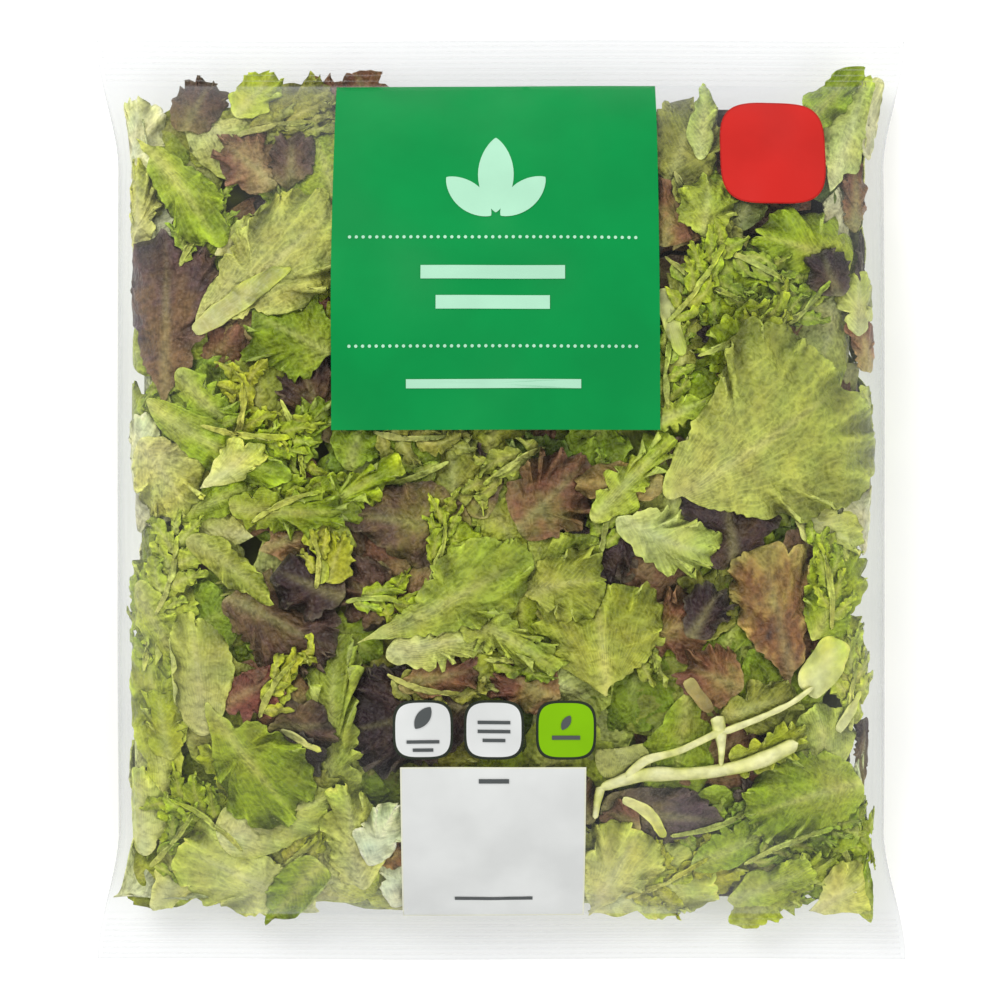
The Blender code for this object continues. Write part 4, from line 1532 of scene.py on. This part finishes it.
def leafOutline(length, width, heading, count=40):
    turn = np.linspace(0, 2 * np.pi, count, endpoint=False)
    along = length / 2 * np.cos(turn)
    across = width / 2 * np.sin(turn) * np.abs(np.sin(turn)) ** 0.6
    tilt = math.radians(heading)
    return np.stack([along * math.cos(tilt) - across * math.sin(tilt),
                     along * math.sin(tilt) + across * math.cos(tilt)], axis=-1)


def inlay(heap, middle, outline, lift, rings):
    # a closed wafer of ink that follows the film: middle and outline in millimetres
    shares = np.linspace(0, 1, rings + 1)[1:]
    plan = (np.array(middle) + shares[:, None, None] * outline[None]).reshape(-1, 2)
    plan = np.concatenate([[middle], plan]) / 1000
    level = filmTop(plan[:, 0], plan[:, 1])
    top = np.column_stack([plan, level + lift / 1000])
    low = np.column_stack([plan, level + (lift - inkLevels["thickness"]) / 1000])
    count, total = len(outline), len(top)
    place, after = aroundRing(count)
    faces = [np.stack([np.zeros(count, int), 1 + place, 1 + after], axis=-1)]
    for ring in range(rings - 1):
        faces += bandFaces(1 + ring * count, 1 + (ring + 1) * count, place, after)
    upper = np.concatenate(faces)
    rim = 1 + (rings - 1) * count
    walls = bandFaces(rim, rim + total, place, after)
    addToHeap(heap, np.concatenate([upper, upper[:, ::-1] + total, *walls]), [top, low])


def inlayPiece(name, ink, level, rings, *parts):
    # rings of points from the middle to the outline, one number for all parts or one for each
    heap = newHeap()
    each = rings if isinstance(rings, tuple) else [rings] * len(parts)
    for (middle, outline), ringsHere in zip(parts, each):
        inlay(heap, middle, outline, inkLevels[level], ringsHere)
    points, faces = np.concatenate(heap["points"]), np.concatenate(heap["faces"])
    piece = makePiece(name, points, faces, inks[ink], crisp=True)
    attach(piece, "root")


# Sizes and places in millimetres
greenPanel = {"middle": (-1.5, 65.4), "width": 86.6, "height": 94.0}
datePanel = {"middle": (-2.1, -91.8), "width": 49.2, "height": 42.4, "rim": 0.4}
flash = {"middle": (73.0, 93.3), "size": 28.6, "rim": 0.35}
badges = {"size": 15.9, "rim": 0.7, "along": -60.6, "across": (-20.6, -1.9, 17.1)}


def panelOutline(panel, rim, step):
    return panel["middle"], boxOutline(panel["width"] - 2 * rim, panel["height"] - 2 * rim, step)


def squares(spots, size):
    return [(spot, softSquare(size)) for spot in spots]


inlayPiece("green_panel", "green", "panel", 34, panelOutline(greenPanel, 0, 1.6))
inlayPiece("red_flash", "red", "field", 12, *squares([flash["middle"]], flash["size"] - 2 * flash["rim"]))
inlayPiece("red_flash_rim", "redRim", "rim", 12, *squares([flash["middle"]], flash["size"]))
inlayPiece("date_panel", "white", "field", 18, panelOutline(datePanel, datePanel["rim"], 1.5))
inlayPiece("date_panel_rim", "whiteRim", "rim", 18, panelOutline(datePanel, 0, 1.5))
badgeSpots = [(across, badges["along"]) for across in badges["across"]]
badgeField = badges["size"] - 2 * badges["rim"]
inlayPiece("badge_rims", "outline", "rim", 7, *squares(badgeSpots, badges["size"]))
inlayPiece("pale_badges", "white", "field", 7, *squares(badgeSpots[:2], badgeField))
inlayPiece("lime_badge", "lime", "field", 7, *squares(badgeSpots[2:], badgeField))

# Bars where small print would be: middle, width and height
smallBars = (
    ((-1.9, -74.4), 8, 1.2),
    ((-2.0, -107.6), 21, 0.9),
    ((-20.6, -63.8), 8.6, 0.9),
    ((-20.6, -66.0), 5.4, 0.9),
    ((-1.9, -58.6), 8.6, 0.9),
    ((-1.9, -61.0), 8.6, 0.9),
    ((-1.9, -63.4), 6.0, 0.9),
    ((17.1, -62.6), 7.4, 1.1),
)
bars = [(middle, boxOutline(width, height, 1.0 if width > 20 else 0.6))
        for middle, width, height in smallBars]
smallLeaves = [((17.1, -58.6), leafOutline(4.4, 2.2, 60)), ((-20.6, -57.4), leafOutline(7.0, 3.6, 55))]
inlayPiece("small_print_bars", "ink", "mark", (2,) * len(bars) + (3, 3), *bars, *smallLeaves)
# A sprig of three leaves and three wide bars on the panel
sprig = [
    ((-1.4, 86.5), leafOutline(21, 9.5, 90)),
    ((-8.6, 80.5), leafOutline(16, 7.5, 138)),
    ((5.8, 80.5), leafOutline(16, 7.5, 42)),
    ((-2.2, 60.0), boxOutline(38, 3.6, 1.2)),
    ((-2.2, 52.0), boxOutline(30, 3.6, 1.2)),
    ((-2.0, 30.5), boxOutline(46, 2.4, 1.2)),
]
inlayPiece("mint_motif", "mint", "mark", (8, 8, 8, 5, 5, 4), *sprig)

dottedRules = {
    "count": 43,
    "spacing": 0.0018,
    "size": 0.0009,
    "height": 0.0001,
    "lift": 0.00026,
    "start": -0.0400,
    "along": (0.0694, 0.0404),
}
rules = dotTree(inks["mint"])
for number, along in enumerate(dottedRules["along"]):
    piece = growFrom(rules, "dotted_rule_" + str(number + 1), {
        "Count": dottedRules["count"],
        "Spacing": dottedRules["spacing"],
        "Size": dottedRules["size"],
        "Height": dottedRules["height"],
    })
    points = readPoints(piece)
    points[:, 0] += dottedRules["start"]
    points[:, 1] += along
    layPoints(piece, points, dottedRules["lift"])
    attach(piece, "root")
print("print made")
